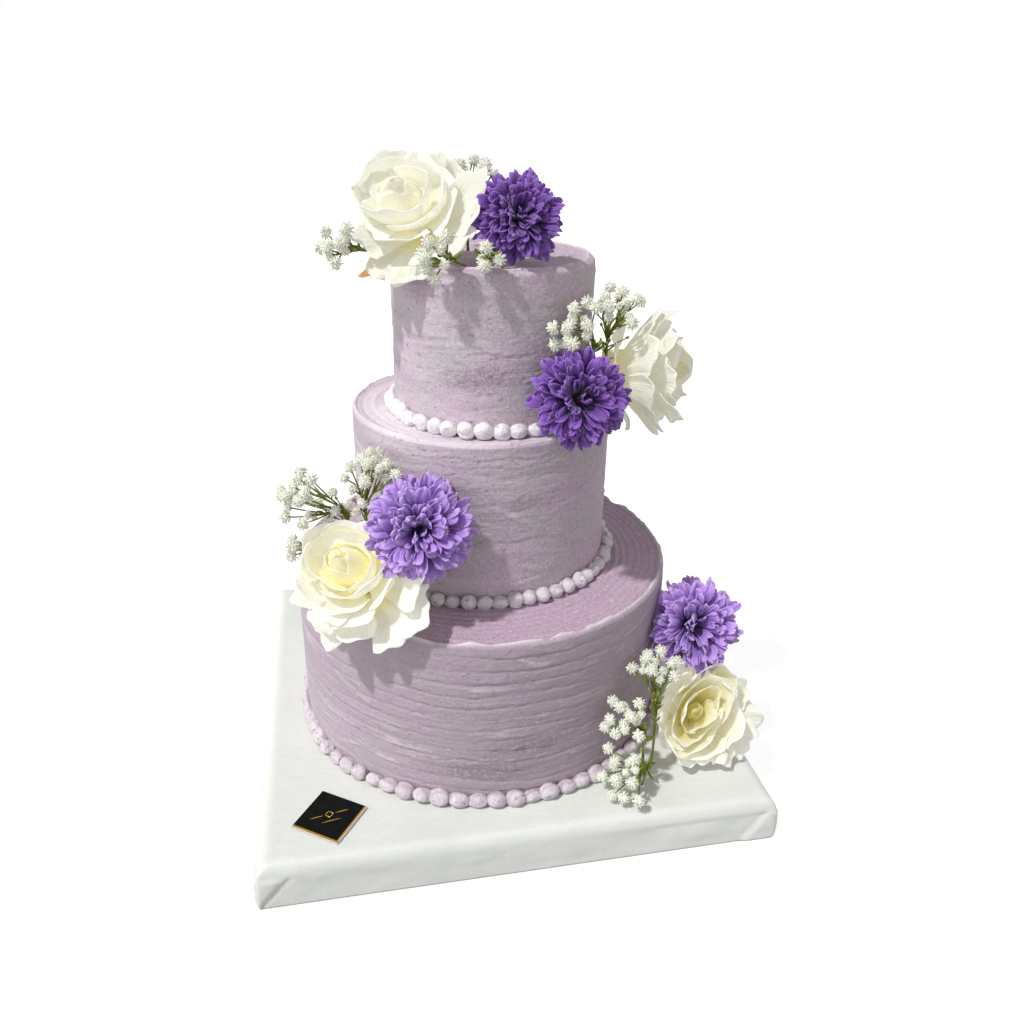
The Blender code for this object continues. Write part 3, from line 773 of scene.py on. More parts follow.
def rosePetal(bunch, flower, frameOf, petal, seed):
    # one silk petal: a meridian bowed from the base to the lip, wrapped round the flower's own axis
    rng = random.Random(seed)
    t, s = sheetAxes(17, 17)
    highest = rng.uniform(-0.3, 0.3)
    drop = petal["round"] * (np.abs(s - highest) / (1 + abs(highest))) ** petal.get("point", 2.2)
    notches = 0.045 * np.sin(5 * s + rng.uniform(0, 6)) + 0.02 * np.sin(11 * s + rng.uniform(0, 6))
    reach = t * (1 - drop - notches * (0.4 if flower.get("blunt") else 1.0))
    path = bezier(petal["base"], petal["middle"], petal["lip"], reach)
    out, rise = path[..., 0], path[..., 1]
    bendAt = rng.uniform(0.70, 0.84)
    curl = np.clip((reach - bendAt) / (1 - bendAt), 0, 1)
    roll = petal["curl"] * (0.4 + 0.6 * np.abs(s - highest))
    out = out + roll * np.sin(curl * 1.6)
    rise = rise - roll * (1 - np.cos(curl * 1.9))
    spread = petal["half"] * (0.5 + 0.5 * np.sin(np.clip(reach * 1.15, 0, 1) * math.pi / 2))
    angle = petal["turn"] + s * spread
    out = out + petal["overlap"] * s * reach
    ruffle = petal["ruffle"]
    wave = ruffle * reach ** 3 * (np.sin(s * rng.uniform(4, 6) + rng.uniform(0, 6))
                                  + 0.45 * np.sin(s * 11 + rng.uniform(0, 6)))
    crumple = 0.7 * ruffle * softNoise((s + 1) / 2.3, t, 7, 6, seed) * reach
    # two sharp folds that run down towards the base, as pressed into the cloth
    folds = 0
    for number in range(2):
        at = rng.uniform(-0.75, 0.75)
        away = np.abs(s - at - rng.uniform(-0.5, 0.5) * (t - 0.6))
        folds = folds + rng.choice((-1, 1)) * np.maximum(0, 0.55 - away) ** 1.2
    rise = rise + wave + crumple + 1.9 * ruffle * folds * reach ** 1.3
    out = out + 0.5 * wave - 0.5 * crumple
    world = toFlower(flower, frameOf, out * np.sin(angle), out * np.cos(angle), rise, petal["follow"],
                     petal.get("squashed", False))
    yellow = petal["yellow"] * (1.15 - reach) + petal.get("gold", 0.0) * np.clip(1 - reach / 0.5, 0, 1)
    shade = petal.get("shade", 0.0) * np.clip(1.05 - reach, 0, 1) ** 1.3
    # a painted highlight along the lip and the sides
    rim = np.clip(np.maximum((t - 0.93) / 0.07, (np.abs(s) - 0.9) / 0.1), 0, 1)
    # the darker tone is painted shade over the flower and its outer petals
    addGrid(bunch, world, along=reach, across=s, yellow=np.clip(yellow, 0, 1), shade=shade,
            dim=flower["dim"] + petal.get("dim", 0.0), rim=rim, blush=petal.get("blush", 0.0),
            mark=seed % markCycle)


def roseHeart(bunch, rose, frameOf, seed):
    # a closed bud: a low wrinkled dome with petals folded over it, each lip further out than the last
    rng = random.Random(seed)
    low, high = -0.3 * rose["radius"], rose["heartTop"] * rose["radius"]
    size = rose["bud"] * rose["core"]

    def onDome(polar, turn, lift):
        out = (size + lift) * np.sin(polar)
        rise = low + (high - low + lift) * np.cos(polar)
        return toFlower(rose, frameOf, out * np.sin(turn), out * np.cos(turn), rise, 1.0, True)

    polar = np.linspace(0.03, 1.8, 18)[:, None]
    turn = turnsRound(40)
    wrinkle = 0.9 * softNoise(turn / fullTurn, polar / 1.8, 7, 9, seed) + 0.35 * np.sin(3 * turn + polar * 9)
    creases = np.clip(-wrinkle, 0, 1)
    # the darker tone over the flower is painted shade, and the shade deepens in the creases of the dome
    addGrid(bunch, onDome(polar, turn, wrinkle), wrap=True, closeStart=True, along=0.7, across=turn,
            yellow=np.clip(rose["budYellow"] * (0.75 + 0.35 * polar / 1.8 + 0.5 * creases), 0, 1),
            shade=rose["heartShade"] * (0.6 + 0.6 * creases), dim=rose["dim"], mark=seed % markCycle)
    t, s = sheetAxes(13, 25)
    for number in range(rose["closed"]):
        reach = t * (1 - 0.30 * np.abs(s) ** rng.uniform(1.6, 2.4) - 0.03 * np.sin(7 * s + rng.uniform(0, 6)))
        lipPolar = math.radians(20 + 55 * number / rose["closed"] + rng.uniform(-5, 5))
        bent = np.clip((reach - 0.86) / 0.14, 0, 1)
        crumple = 0.5 * softNoise((s + 1) / 2.2, t, 6, 4, seed + number)
        lift = 0.5 + 0.8 * number + 1.1 * bent + 0.5 * s + crumple
        turn = 0.9 + number * goldenAngle + s * math.radians(96 - 6 * number)
        world = onDome(1.85 - (1.85 - lipPolar) * reach, turn, lift)
        # a painted highlight along each lip; the darker tone is painted shade
        addGrid(bunch, world, along=reach, across=s,
                yellow=np.clip(rose["budYellow"] * (1.45 - 0.95 * reach), 0, 1), dim=rose["dim"],
                shade=rose["heartShade"] * np.clip(1.1 - reach, 0, 1), rim=np.clip((t - 0.93) / 0.07, 0, 1),
                mark=(seed + number) % markCycle)


# "orangePetal" is a small one that shows under the flower: azimuth, reach and height
# each of "petals" has azimuth, reach, half angle, height of the lip, curl and ruffle
# a flower's darker tone and the shade on its outer petals are painted shade, over flowers that lie in shadow
# or catch too much light; the heart shade is painted shade in its depth
roses = {
    "rose_top": {
        "centre": (-42.5, -31.5, 346.5), "radius": 37.5, "faces": (-0.28, -0.70, 0.62),
        "stem": (0.30, 0.45, -0.84), "heart": (-12.0, 8.0), "bud": 17.0, "core": 0.62, "heartTop": 0.44,
        "closed": 4, "open": 4, "budYellow": 0.20, "heartShade": 0.04, "dim": 0.0, "outerShade": 0.32,
        "ruffled": 0.35, "squash": (1.10, 0.76, -8), "orangePetal": (222, 43, -12),
        "petals": [(2, 33, 24, 9, 1.0, 0.9), (26, 35, 28, 3, 1.0, 1.2), (66, 39, 25, 14, 1.5, 1.0),
                   (94, 35, 26, 10, 1.5, 1.2), (120, 37, 28, 8, 3.0, 1.6), (150, 31, 30, 2, 3.0, 1.8),
                   (182, 40, 24, -2, 1.0, 1.6), (207, 42, 26, -4, 1.5, 1.9), (238, 36, 28, 2, 2.0, 1.8),
                   (272, 31, 32, 4, 2.5, 1.2), (312, 31, 32, 6, 2.5, 1.0), (346, 30, 28, 8, 2.0, 1.2)]},
    "rose_left": {
        "centre": (-87.5, -90.5, 163.0), "radius": 38.5, "faces": (-0.30, -0.66, 0.68),
        "stem": (0.36, 0.50, -0.79), "heart": (-8.0, 11.0), "bud": 17.0, "core": 0.62, "heartTop": 0.38,
        "closed": 3, "open": 6, "budYellow": 0.50, "heartShade": 0.14, "dim": 0.0, "outerShade": 0.06,
        "ruffled": 0.9, "squash": (1.14, 0.92, 14),
        "petals": [(12, 34, 32, 4, 2.0, 1.4), (58, 36, 28, 6, 1.0, 1.8), (88, 40, 24, 8, 1.0, 1.6),
                   (106, 47, 24, 0, 1.0, 1.6), (132, 43, 22, -3, 1.0, 1.6), (166, 34, 27, 2, 2.0, 1.9),
                   (198, 38, 22, -7, 1.0, 1.7), (216, 33, 27, 4, 3.0, 1.6), (252, 35, 29, 4, 2.5, 1.4),
                   (292, 34, 32, 2, 2.5, 1.4), (330, 33, 32, 4, 2.5, 1.2), (158, 28, 38, 12, 3.5, 1.2),
                   (206, 27, 34, 13, 3.0, 1.2)]},
    "rose_base": {
        "centre": (118.0, -103.5, 54.8), "radius": 36.0, "faces": (-0.12, -0.80, 0.55),
        "stem": (-0.55, 0.80, -0.25), "heart": (-3.0, 5.0), "bud": 19.0, "core": 0.28, "heartTop": 0.18,
        "closed": 1, "open": 8, "budYellow": 0.9, "heartShade": 0.95, "dim": 0.10,
        "ruffled": 1.9, "squash": (0.66, 1.14, 36), "deepHeart": 0.40,
        "petals": [(20, 31, 32, 2, 2.0, 1.6), (58, 38, 26, -2, 1.5, 2.6), (84, 40, 24, -4, 1.5, 2.6),
                   (112, 38, 25, -4, 1.5, 2.4), (140, 32, 28, 2, 3.0, 1.8), (172, 29, 30, 6, 3.5, 1.8),
                   (205, 30, 30, 6, 3.0, 1.6), (240, 30, 30, 6, 3.0, 1.4), (280, 28, 32, 6, 2.5, 1.3),
                   (318, 29, 30, 4, 2.0, 1.4), (340, 37, 15, 13, 0.5, 0.7), (356, 32, 26, 2, 1.5, 1.6)]},
    "rose_right": {
        "centre": (80.5, -45.5, 261.0), "radius": 36.5, "faces": (0.86, -0.46, 0.12),
        "stem": (-0.90, 0.42, -0.12), "heart": (0.0, 2.0), "bud": 16.0, "core": 0.6, "heartTop": 0.72,
        "closed": 3, "open": 6, "budYellow": 0.4, "heartShade": 0.20, "dim": 0.36,
        "blunt": 1.0, "squash": (1.0, 1.0, 0),
        "petals": [(0, 36, 34, 13, 1.5, 1.5), (42, 35, 34, 13, 2.0, 1.5), (92, 33, 36, 11, 2.0, 1.4),
                   (140, 34, 36, 12, 2.0, 1.2), (182, 35, 38, 9, 1.5, 0.8), (214, 35, 34, 15, 3.0, 1.0),
                   (262, 33, 34, -7, 2.0, 1.6), (300, 35, 30, -9, 2.0, 1.7), (335, 37, 28, -8, 2.0, 1.7),
                   (10, 36, 30, -9, 2.0, 1.5), (226, 34, 30, -5, 2.0, 1.2),
                   (234, 31, 30, 25, 4.0, 1.8), (258, 36, 28, 14, 2.5, 1.9), (280, 29, 30, 27, 4.5, 1.9),
                   (304, 35, 28, 16, 2.5, 1.9), (328, 29, 30, 25, 4.0, 1.8), (348, 35, 28, 19, 3.0, 1.7)]},
}


# yellow and blush are the silk's own colour; the shade and the darker tone are painted shade, and the lighter
# edge tint is a painted highlight
silkLook = {"cloudTints": ((0.705, 0.70, 0.625), (0.765, 0.765, 0.71)), "glow": 0.27,
            "layers": {"yellow": ((0.86, 0.75, 0.15), 1.0), "shade": ((0.38, 0.32, 0.07), 1.0),
                       "dim": ((0.44, 0.43, 0.31), 1.0), "rim": ((0.80, 0.80, 0.74), 0.55),
                       "blush": ((0.85, 0.38, 0.05), 1.0)},
            "veins": {"across": 9.0, "along": 1.4, "mark": 3.7}}


def silkFinish(look):
    material, shader, place = newFinish("cream_silk", 0.7, 0.2)
    colour = blendColour(material, noiseShare(material, place, 70, 2), *look["cloudTints"])
    for layer, (tint, most) in look["layers"].items():
        colour = layerTint(material, layer, colour, tint, most=most)
    link(material, colour, shader.inputs["Base Color"])
    # a faint glow stands for light that comes through thin silk
    link(material, colour, shader.inputs["Emission Color"])
    veins = [times(material, layerValue(material, layer), size) for layer, size in look["veins"].items()]
    layBumps(material, shader,
             (noiseField(material, joinAxes(material, *veins), 1.0), 0.8),
             (noiseField(material, place, 160), 0.5, 0.8),
             (noiseField(material, place, 2400, 2), 0.06))
    setSockets(shader, {"Emission Strength": look["glow"], "Sheen Weight": 0.25, "Subsurface Weight": 0.35,
                        "Subsurface Radius": (1.0, 0.95, 0.7), "Subsurface Scale": 3.0 * mm})
    return material


def makeRose(name, rose, seed, silk, green):
    frameOf = flowerFrame(rose)
    rng = random.Random(seed)
    radius, bud, core = rose["radius"], rose["bud"], rose["core"]
    bunch = newBunch("along", "across", "yellow", "shade", "dim", "rim", "blush", "mark")
    depth = -0.5 * radius
    roseHeart(bunch, rose, frameOf, seed)
    # petals that stand half open round it, each lip high in its middle so that it reads as a crescent
    for number in range(rose["open"]):
        share = (number + 1) / rose["open"]
        lip = bud * (core + 0.12 + (1.22 - core) * share) * rng.uniform(0.96, 1.04)
        rise = radius * (rose["heartTop"] + 0.02 - 0.14 * share) * rng.uniform(0.95, 1.05)
        rise = max(rise, radius * rose.get("deepHeart", 0.0) * rng.uniform(0.85, 1.05))
        rosePetal(bunch, rose, frameOf, {
            "follow": 1.0, "squashed": True, "turn": 1.4 + number * goldenAngle + rng.uniform(-0.2, 0.2),
            "half": math.radians(84 - 14 * share), "base": (bud * core * 0.6 + 2.0 * share, depth * 0.6),
            "middle": (lip * 1.25, -radius * 0.1), "lip": (lip, rise), "curl": 1.0 + 2.0 * share,
            "overlap": 1.3, "ruffle": 0.45 + 0.5 * share + rose.get("ruffled", 0.0), "round": 0.24,
            "gold": rose["budYellow"], "yellow": rose["budYellow"] * (0.8 - 0.4 * share),
            "shade": rose["heartShade"] * 1.1}, seed + 10 + number)
    # a middle whorl that opens further
    for number in range(5):
        turn = 0.5 + number * math.radians(72) + rng.uniform(-0.2, 0.2)
        reach = max(radius * rng.uniform(0.60, 0.70), bud * 1.3)
        rosePetal(bunch, rose, frameOf, {
            "follow": 0.7, "turn": turn, "half": math.radians(44),
            "base": (2.5, depth * 0.8), "middle": (reach, -radius * 0.12),
            "lip": (reach, radius * rng.uniform(0.22, 0.32)), "curl": 3.2, "overlap": 1.6, "ruffle": 1.0,
            "round": 0.26, "gold": 0.5, "yellow": rose["budYellow"] * 0.3,
            "shade": rose["heartShade"] * 0.6}, seed + 30 + number)
    # the big outer petals
    for number, (azimuth, reach, halfAngle, height, curl, ruffle) in enumerate(rose["petals"]):
        rosePetal(bunch, rose, frameOf, {
            "follow": 0.15, "turn": math.radians(azimuth), "half": math.radians(halfAngle),
            "base": (2.5, depth), "middle": (reach * 0.6, height * 0.3 - radius * 0.24),
            "lip": (reach - curl * 0.6, height), "curl": curl, "overlap": 0.8, "ruffle": ruffle * 0.85,
            "round": rng.uniform(0.22, 0.32), "point": rng.uniform(1.3, 2.0) + rose.get("blunt", 0.0),
            "yellow": 0.08, "gold": 0.85, "dim": rose.get("outerShade", 0.0),
            "shade": rose["heartShade"] * 0.3}, seed + 60 + number)
    if "orangePetal" in rose:
        azimuth, reach, height = rose["orangePetal"]
        rosePetal(bunch, rose, frameOf, {
            "follow": 0.0, "turn": math.radians(azimuth), "half": math.radians(7), "base": (4, depth),
            "middle": (reach * 0.6, height - 4), "lip": (reach, height), "curl": 0.5, "overlap": 0.2,
            "ruffle": 0.4, "round": 0.4, "yellow": 0.2, "blush": 0.9}, seed + 95)
    stem = unit(np.array(rose["stem"]))
    middle = np.array(rose["centre"])
    back = middle + frameOf[2] * depth
    stalkPath = bendPath(back - frameOf[2] * 3, middle + stem * radius * 0.95, (0, 0, -1))
    addTube(bunch, stalkPath, 1.5, 8, finish=1)
    calyxPath = [back + frameOf[2] * step for step in (-7.0, -5.5, -3.5, -1.5)]
    addTube(bunch, calyxPath, [1.6, 2.6, 2.8, 1.4], 10, finish=1)
    makePiece(name + "_petals", bunch, name, [silk, green], thick=0.22)
    print("made", name)


mums = {
    "mum_top": {"centre": (6.2, -44.6, 345.8), "radius": 24.8, "faces": (0.10, -0.82, 0.55), "petals": "deep",
                "rings": (6, 10, 16, 21, 25, 28, 27, 22, 15), "width": 5.5, "ragged": 0.6, "recess": 0.80},
    "mum_right": {"centre": (34.2, -78.2, 258.6), "radius": 27.2, "faces": (0.02, -0.92, 0.38),
                  "petals": "deep",
                  "rings": (6, 9, 14, 20, 24, 26, 26, 21, 14), "width": 6.4, "ragged": 1.1, "recess": 0.62},
    "mum_left": {"centre": (-52.7, -88.5, 193.3), "radius": 30.3, "faces": (0.05, -0.93, 0.36),
                 "petals": "light",
                 "rings": (6, 10, 15, 20, 23, 25, 25, 21, 14), "width": 7.7, "ragged": 1.5, "recess": 0.72},
    "mum_base": {"centre": (118.0, -72.3, 105.0), "radius": 31.2, "faces": (0.05, -0.90, 0.42),
                 "petals": "light",
                 "rings": (5, 10, 15, 20, 24, 26, 25, 20, 14), "width": 6.8, "ragged": 0.6, "recess": 0.78},
}
mumLooks = {
    "deep": {"from": 0.42, "to": 0.92, "base": (0.008, 0.002, 0.030), "petal": (0.150, 0.042, 0.345),
             "dim": (0.055, 0.014, 0.150), "tip": (0.385, 0.205, 0.650)},
    "light": {"from": 0.34, "to": 0.88, "base": (0.065, 0.018, 0.190), "petal": (0.395, 0.195, 0.730),
              "dim": (0.220, 0.095, 0.480), "tip": (0.700, 0.520, 0.920)},
}


def violetFinish(name, look):
    material, shader, place = newFinish(name, 0.75, 0.15)
    opening = rescale(material, layerValue(material, "along"), look["from"], look["to"])
    colour = blendColour(material, opening, look["base"], look["petal"])
    colour = layerTint(material, "tint", colour, look["dim"], most=0.25)
    colour = layerTint(material, "along", colour, look["tip"], 0.82, 1.0, 0.4)
    # a painted highlight along the edges of the petals
    colour = layerTint(material, "rim", colour, look["tip"], most=0.6)
    colour = blendColour(material, noiseShare(material, place, 160, 3, toHigh=0.22), colour, look["tip"])
    link(material, colour, shader.inputs["Base Color"])
    layBumps(material, shader,
             (noiseField(material, place, 380), 0.6),
             (noiseField(material, place, 1100, 2), 0.2))
    setSockets(shader, {"Sheen Weight": 0.3, "Subsurface Weight": 0.2, "Subsurface Radius": (0.7, 0.5, 1.0),
                        "Subsurface Scale": 1.5 * mm})
    return material


def mumPetal(bunch, mum, frameOf, polar, azimuth, rng):
    # a narrow spoon: thin at the heart, ribbed, with a rounded tip that bends out
    radius = mum["radius"]
    t, s = sheetAxes(9, 7)
    t = 1 - (1 - t) ** 1.7
    openness = min(1.0, polar / 0.9)
    inner = max(0.0, 1 - polar / 0.75)   # the heart is a tangle of narrow twisted petals
    reach = radius * rng.uniform(0.80 - 0.12 * inner, 1.07)
    reach = reach * (mum["recess"] + (1 - mum["recess"]) * openness)
    flat = 0.82 if polar < 1.2 else 0.95
    tip = (reach * math.sin(polar), reach * math.cos(polar) * flat)
    middle = (tip[0] * 0.45, tip[1] * 0.45 + radius * rng.uniform(0.16, 0.26))
    notch = 1 - rng.uniform(0.0, 0.10) * (1 - np.abs(s)) ** 2 - rng.uniform(-0.05, 0.05) * s \
        - 0.03 * np.abs(np.sin(4 * s + rng.uniform(0, 3)))
    path = bezier((radius * 0.06, -radius * 0.28), middle, tip, t * notch)
    out, rise = path[..., 0], path[..., 1]
    widest = 0.74   # where the blade is widest, before its rounded end
    blade = 0.30 + 0.70 * (t / widest) ** 1.3
    end = np.sqrt(np.maximum(0.05, 1 - np.maximum(0, (t - widest) / 0.262) ** 5))
    shape = np.where(t < widest, blade, end)
    width = mum["width"] * 0.5 * shape * rng.uniform(0.74, 1.18) * (1 - 0.45 * inner)
    side = s * width
    cup = rng.uniform(0.1, 0.8) * (s ** 2) * width * 0.55 - 0.20 * np.cos(s * 3 * math.pi) * shape
    ragged = mum["ragged"] * 0.5 * (np.sin(s * 5 + rng.uniform(0, 6)) + rng.uniform(-1, 1) * s) * t ** 3
    slopeOut = np.gradient(out, axis=0)
    slopeUp = np.gradient(rise, axis=0)
    size = np.sqrt(slopeOut ** 2 + slopeUp ** 2)
    crinkle = 0.5 * np.sin(7 * t + 4 * s + rng.uniform(0, 6)) * t
    crinkle = crinkle + 0.45 * np.sin(4 * t - 6 * s + rng.uniform(0, 6)) * t
    lift = cup + ragged + crinkle
    out = out - lift * slopeUp / size
    rise = rise + lift * slopeOut / size
    twist = rng.uniform(-1.1, 1.1) * t * (1 + 1.6 * inner)
    rise = rise + side * np.sin(twist) * 0.8
    x = out * math.sin(azimuth) + side * math.cos(azimuth)
    y = out * math.cos(azimuth) - side * math.sin(azimuth)
    world = np.array(mum["centre"]) + np.stack([x, y, rise], axis=-1) @ frameOf
    # a painted highlight along the tip and the sides, fainter in the heart
    rim = np.clip(np.maximum((t - 0.93) / 0.07, (np.abs(s) - 0.6) / 0.4 * t), 0, 1)
    rim = rim * rng.uniform(0.3, 1) * (1 - 0.7 * inner)
    addGrid(bunch, keepClear(world), along=t, rim=rim, tint=rng.uniform(0, 1))


def makeMum(name, mum, seed, material):
    rng = random.Random(seed)
    frameOf = flowerFrame(mum)
    bunch = newBunch("along", "rim", "tint")
    rings = mum["rings"]
    # a small knobbly core closes the heart behind the petals
    polar = np.linspace(0.05, 2.6, 6)[:, None]
    turn = turnsRound(10)
    size = mum["radius"] * 0.16 * (1 + 0.1 * np.sin(3 * turn + 4 * polar))
    middle = np.array(mum["centre"]) - frameOf[2] * mum["radius"] * 0.2
    core = middle + ballPoints(size, polar, turn) @ frameOf
    addGrid(bunch, core, wrap=True, closeStart=True, along=0.1, tint=1.0)
    for ring, count in enumerate(rings):
        polar = math.radians(9 + ring * 101 / (len(rings) - 1))
        start = rng.uniform(0, 6.28)
        for number in range(count):
            azimuth = start + (number + rng.uniform(-0.4, 0.4)) / count * fullTurn
            sway = rng.uniform(-0.26, 0.26) if ring > 1 else rng.uniform(-0.1, 0.5)
            mumPetal(bunch, mum, frameOf, polar + sway, azimuth, rng)
    makePiece(name + "_petals", bunch, name, [material], thick=0.3)
    print("made", name, sum(rings), "petals")


# baby's breath: forked green stalks, small leaves and white bursts

sprigs = {
    "sprig_top_left": {"foot": (-50, -12, 323.9), "fork": (-77, -24, 328)},
    "sprig_top_back": {"foot": (-14, -8, 323.9), "fork": (-13, -4, 345)},
    "sprig_top_front": {"foot": (-22, -50, 323.9), "fork": (-30, -60, 328)},
    "sprig_top_drop": {"foot": (-15, -50, 323.9), "fork": (-14, -60, 329)},
    "sprig_right_front": {"foot": (52.5, -51.5, 235.3), "fork": (48, -54, 284)},
    "sprig_right_back": {"foot": (58, -45, 235.3), "fork": (57, -50, 284)},
    "sprig_left_far": {"foot": (-84, -50, 137.2), "fork": (-90, -56, 190),
                       "also": [(-96, -64, 196), (-89, -65, 200), (-100, -63, 189), (-85, -66, 195),
                                (-105, -60, 199), (-97, -60, 205), (-108, -58, 191)]},
    "sprig_left_high": {"foot": (-78, -54, 137.2), "fork": (-80, -58, 194),
                        "also": [(-81, -66, 200), (-86, -62, 207), (-90, -58, 212)]},
    "sprig_left_low": {"foot": (-88, -46, 137.2), "fork": (-100, -58, 170)},
    "sprig_base_high": {"foot": (84, -112, 28.9), "fork": (84, -109, 74)},
    "sprig_base_left": {"foot": (78, -117, 28.9), "fork": (75, -117, 62)},
    "sprig_base_low": {"foot": (82, -121, 28.9), "fork": (76, -124, 42)},
}
blossom = {"radius": 3.8, "rays": 43, "rayWidth": 0.62, "core": 2.1, "stalk": 0.45, "mainStalk": 0.85,
           "extra": 0.9, "apart": 5.2, "shoots": 7, "leaves": 9}


def blossomPlaces(name, fork):
    # each blossom of the solids is eight-faced, so its tip has corners at the same distance round its middle
    points = np.array([vertex.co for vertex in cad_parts[name].data.vertices]) / mm
    points = np.unique(np.round(points, 2), axis=0)
    found = []
    for tip in points:
        way = tip - fork
        length = np.linalg.norm(way)
        if length < 2 * blossom["radius"]:
            continue
        middle = tip - way / length * blossom["radius"]
        near = np.abs(np.linalg.norm(points - middle, axis=1) - blossom["radius"]) < 0.08
        apart = all(np.linalg.norm(middle - other) > 2 for other in found)
        if near.sum() >= 4 and apart:
            found.append(middle)
    return found


def smallBlossoms(middles, fork, wanted, rng):
    # between neighbours, a little nearer the fork, and clear of the others
    found = []
    for attempt in range(wanted * 12):
        if len(found) == wanted:
            break
        first, second = rng.sample(range(len(middles)), 2)
        mix = rng.uniform(0.35, 0.65)
        spot = middles[first] * mix + middles[second] * (1 - mix)
        spot = spot + (fork - spot) * rng.uniform(-0.08, 0.22)
        spot = spot + np.array([rng.uniform(-2, 2) for axis in range(3)])
        if min(np.linalg.norm(spot - other) for other in middles + found) > blossom["apart"]:
            found.append(spot)
    return found


def addBlossom(bunch, middle, outward, rng, scale=1.0):
    across = unit(np.cross(outward, (0.31, 0.77, 0.55)))
    upright = np.cross(outward, across)
    # a small knobbly core, then the rays
    polar = np.linspace(0.2, 2.9, 7)[:, None]
    turn = turnsRound(9)
    size = blossom["core"] * scale * (1 + 0.12 * np.sin(turn * 4 + polar * 5))
    core = middle + ballPoints(size, polar, turn) @ np.array([upright, across, outward])
    addGrid(bunch, core, wrap=True, closeStart=True, closeEnd=True)
    for ray in range(blossom["rays"]):
        share = (ray + 0.5) / blossom["rays"]
        polar = math.acos(1 - 1.80 * share) + rng.uniform(-0.12, 0.12)
        turn = ray * goldenAngle + rng.uniform(-0.2, 0.2)
        sideways = across * math.cos(turn) + upright * math.sin(turn)
        way = unit(outward * math.cos(polar) + sideways * math.sin(polar))
        length = blossom["radius"] * rng.uniform(0.82, 1.15) * scale
        start = middle + way * 0.3
        side = unit(np.cross(way, (0.1, 0.5, 0.86)))
        over = np.cross(way, side)
        wide = blossom["rayWidth"] * rng.uniform(0.75, 1.2)
        corners = np.array([side, over * 0.7 - side * 0.5, -over * 0.7 - side * 0.5]) * wide
        rings = [start + way * length * along + corners * swell
                 for along, swell in ((0.0, 0.35), (0.62, 1.0), (0.95, 0.6))]
        addGrid(bunch, np.array(rings), wrap=True, closeEnd=True)


def addLeaf(bunch, root, way, length, width, rng):
    way = unit(np.asarray(way, float))
    side = unit(np.cross(way, (rng.uniform(-1, 1), rng.uniform(-1, 1), 0.4)))
    over = np.cross(way, side)
    t, s = sheetAxes(7, 4)
    shape = width * np.sin(np.clip(t, 0.06, 0.97) * math.pi) ** 0.8
    bend = 0.25 * length * t ** 2
    grid = np.asarray(root) + way * (t * length)[..., None] + side * (s * shape)[..., None] \
        + over * (bend + 0.35 * s ** 2 * shape)[..., None]
    addGrid(bunch, grid, finish=1)


def makeSprig(name, sprig, seed, white, green):
    rng = random.Random(seed)
    fork = np.array(sprig["fork"], float)
    foot = np.array(sprig["foot"], float)
    middles = blossomPlaces(name, fork)
    bunch = newBunch()
    addTube(bunch, bendPath(foot, fork, (rng.uniform(-0.8, 0.8), -0.6, 0)), blossom["mainStalk"], 6, finish=1)
    axis = unit(np.mean(middles, axis=0) - fork)
    across = unit(np.cross(axis, (0.2, 0.4, 0.9)))
    upright = np.cross(axis, across)
    extras = smallBlossoms(middles, fork, round(len(middles) * blossom["extra"]), rng)
    extras += [np.array(spot, float) for spot in sprig.get("also", [])]
    middles = [(middle, 1.0) for middle in middles] + [(middle, rng.uniform(0.62, 0.85)) for middle in extras]
    # blossoms that stand side by side share a twig, three to each
    middles.sort(key=lambda m: math.atan2(np.dot(m[0] - fork, upright), np.dot(m[0] - fork, across)))
    for first in range(0, len(middles), 3):
        group = [middle for middle, size in middles[first:first + 3]]
        twig = fork + (np.mean(group, axis=0) - fork) * rng.uniform(0.38, 0.5)
        addTube(bunch, bendPath(fork, twig, (0, 0, 0.3), 5), [0.68, 0.64, 0.6, 0.56, 0.52], 6, finish=1)
        leafWay = twig - fork + np.array([0, -2.0, rng.uniform(1, 4)])
        addLeaf(bunch, twig, leafWay, rng.uniform(4.5, 7.5), 0.9, rng)
        for middle, size in middles[first:first + 3]:
            outward = unit(middle - twig)
            sag = (rng.uniform(-0.6, 0.6), rng.uniform(-0.6, 0.6), rng.uniform(-0.9, 0.2))
            addTube(bunch, bendPath(twig, middle - outward * 1.2, sag), blossom["stalk"], 5, finish=1)
            cupPath = [middle - outward * back for back in (2.6, 1.6, 0.6)]
            addTube(bunch, cupPath, [0.5, 1.15, 0.9], 7, finish=1)
            addBlossom(bunch, middle, outward, rng, size)
    # bare side shoots thicken the tuft, each with a small bud
    ahead = unit(np.mean([middle for middle, size in middles], axis=0) - fork)
    for shoot in range(blossom["shoots"]):
        way = unit(ahead + np.array([rng.uniform(-0.7, 0.7), rng.uniform(-0.7, 0.4), rng.uniform(-0.5, 0.6)]))
        root = foot + (fork - foot) * rng.uniform(0.8, 1.0)
        end = root + way * rng.uniform(7, 15)
        shootPath = bendPath(root, end, (0, 0, rng.uniform(-0.8, 0.8)), 5)
        addTube(bunch, shootPath, [0.45, 0.42, 0.4, 0.38, 0.36], 5, finish=1)
        addTube(bunch, [end - way * 0.6, end + way * 0.4, end + way * 1.4], [0.55, 0.95, 0.5], 6, finish=1)
    for leaf in range(blossom["leaves"]):
        aside = np.array([rng.uniform(-1, 1), rng.uniform(-0.9, 0.3), rng.uniform(-0.2, 0.8)])
        root = foot + (fork - foot) * rng.uniform(0.7, 1.0)
        addLeaf(bunch, root, unit(fork - foot) + aside, rng.uniform(6, 10), 1.2, rng)
    makePiece(name + "_sprig", bunch, name, [white, green])
    print("made", name, len(middles), "blossoms")


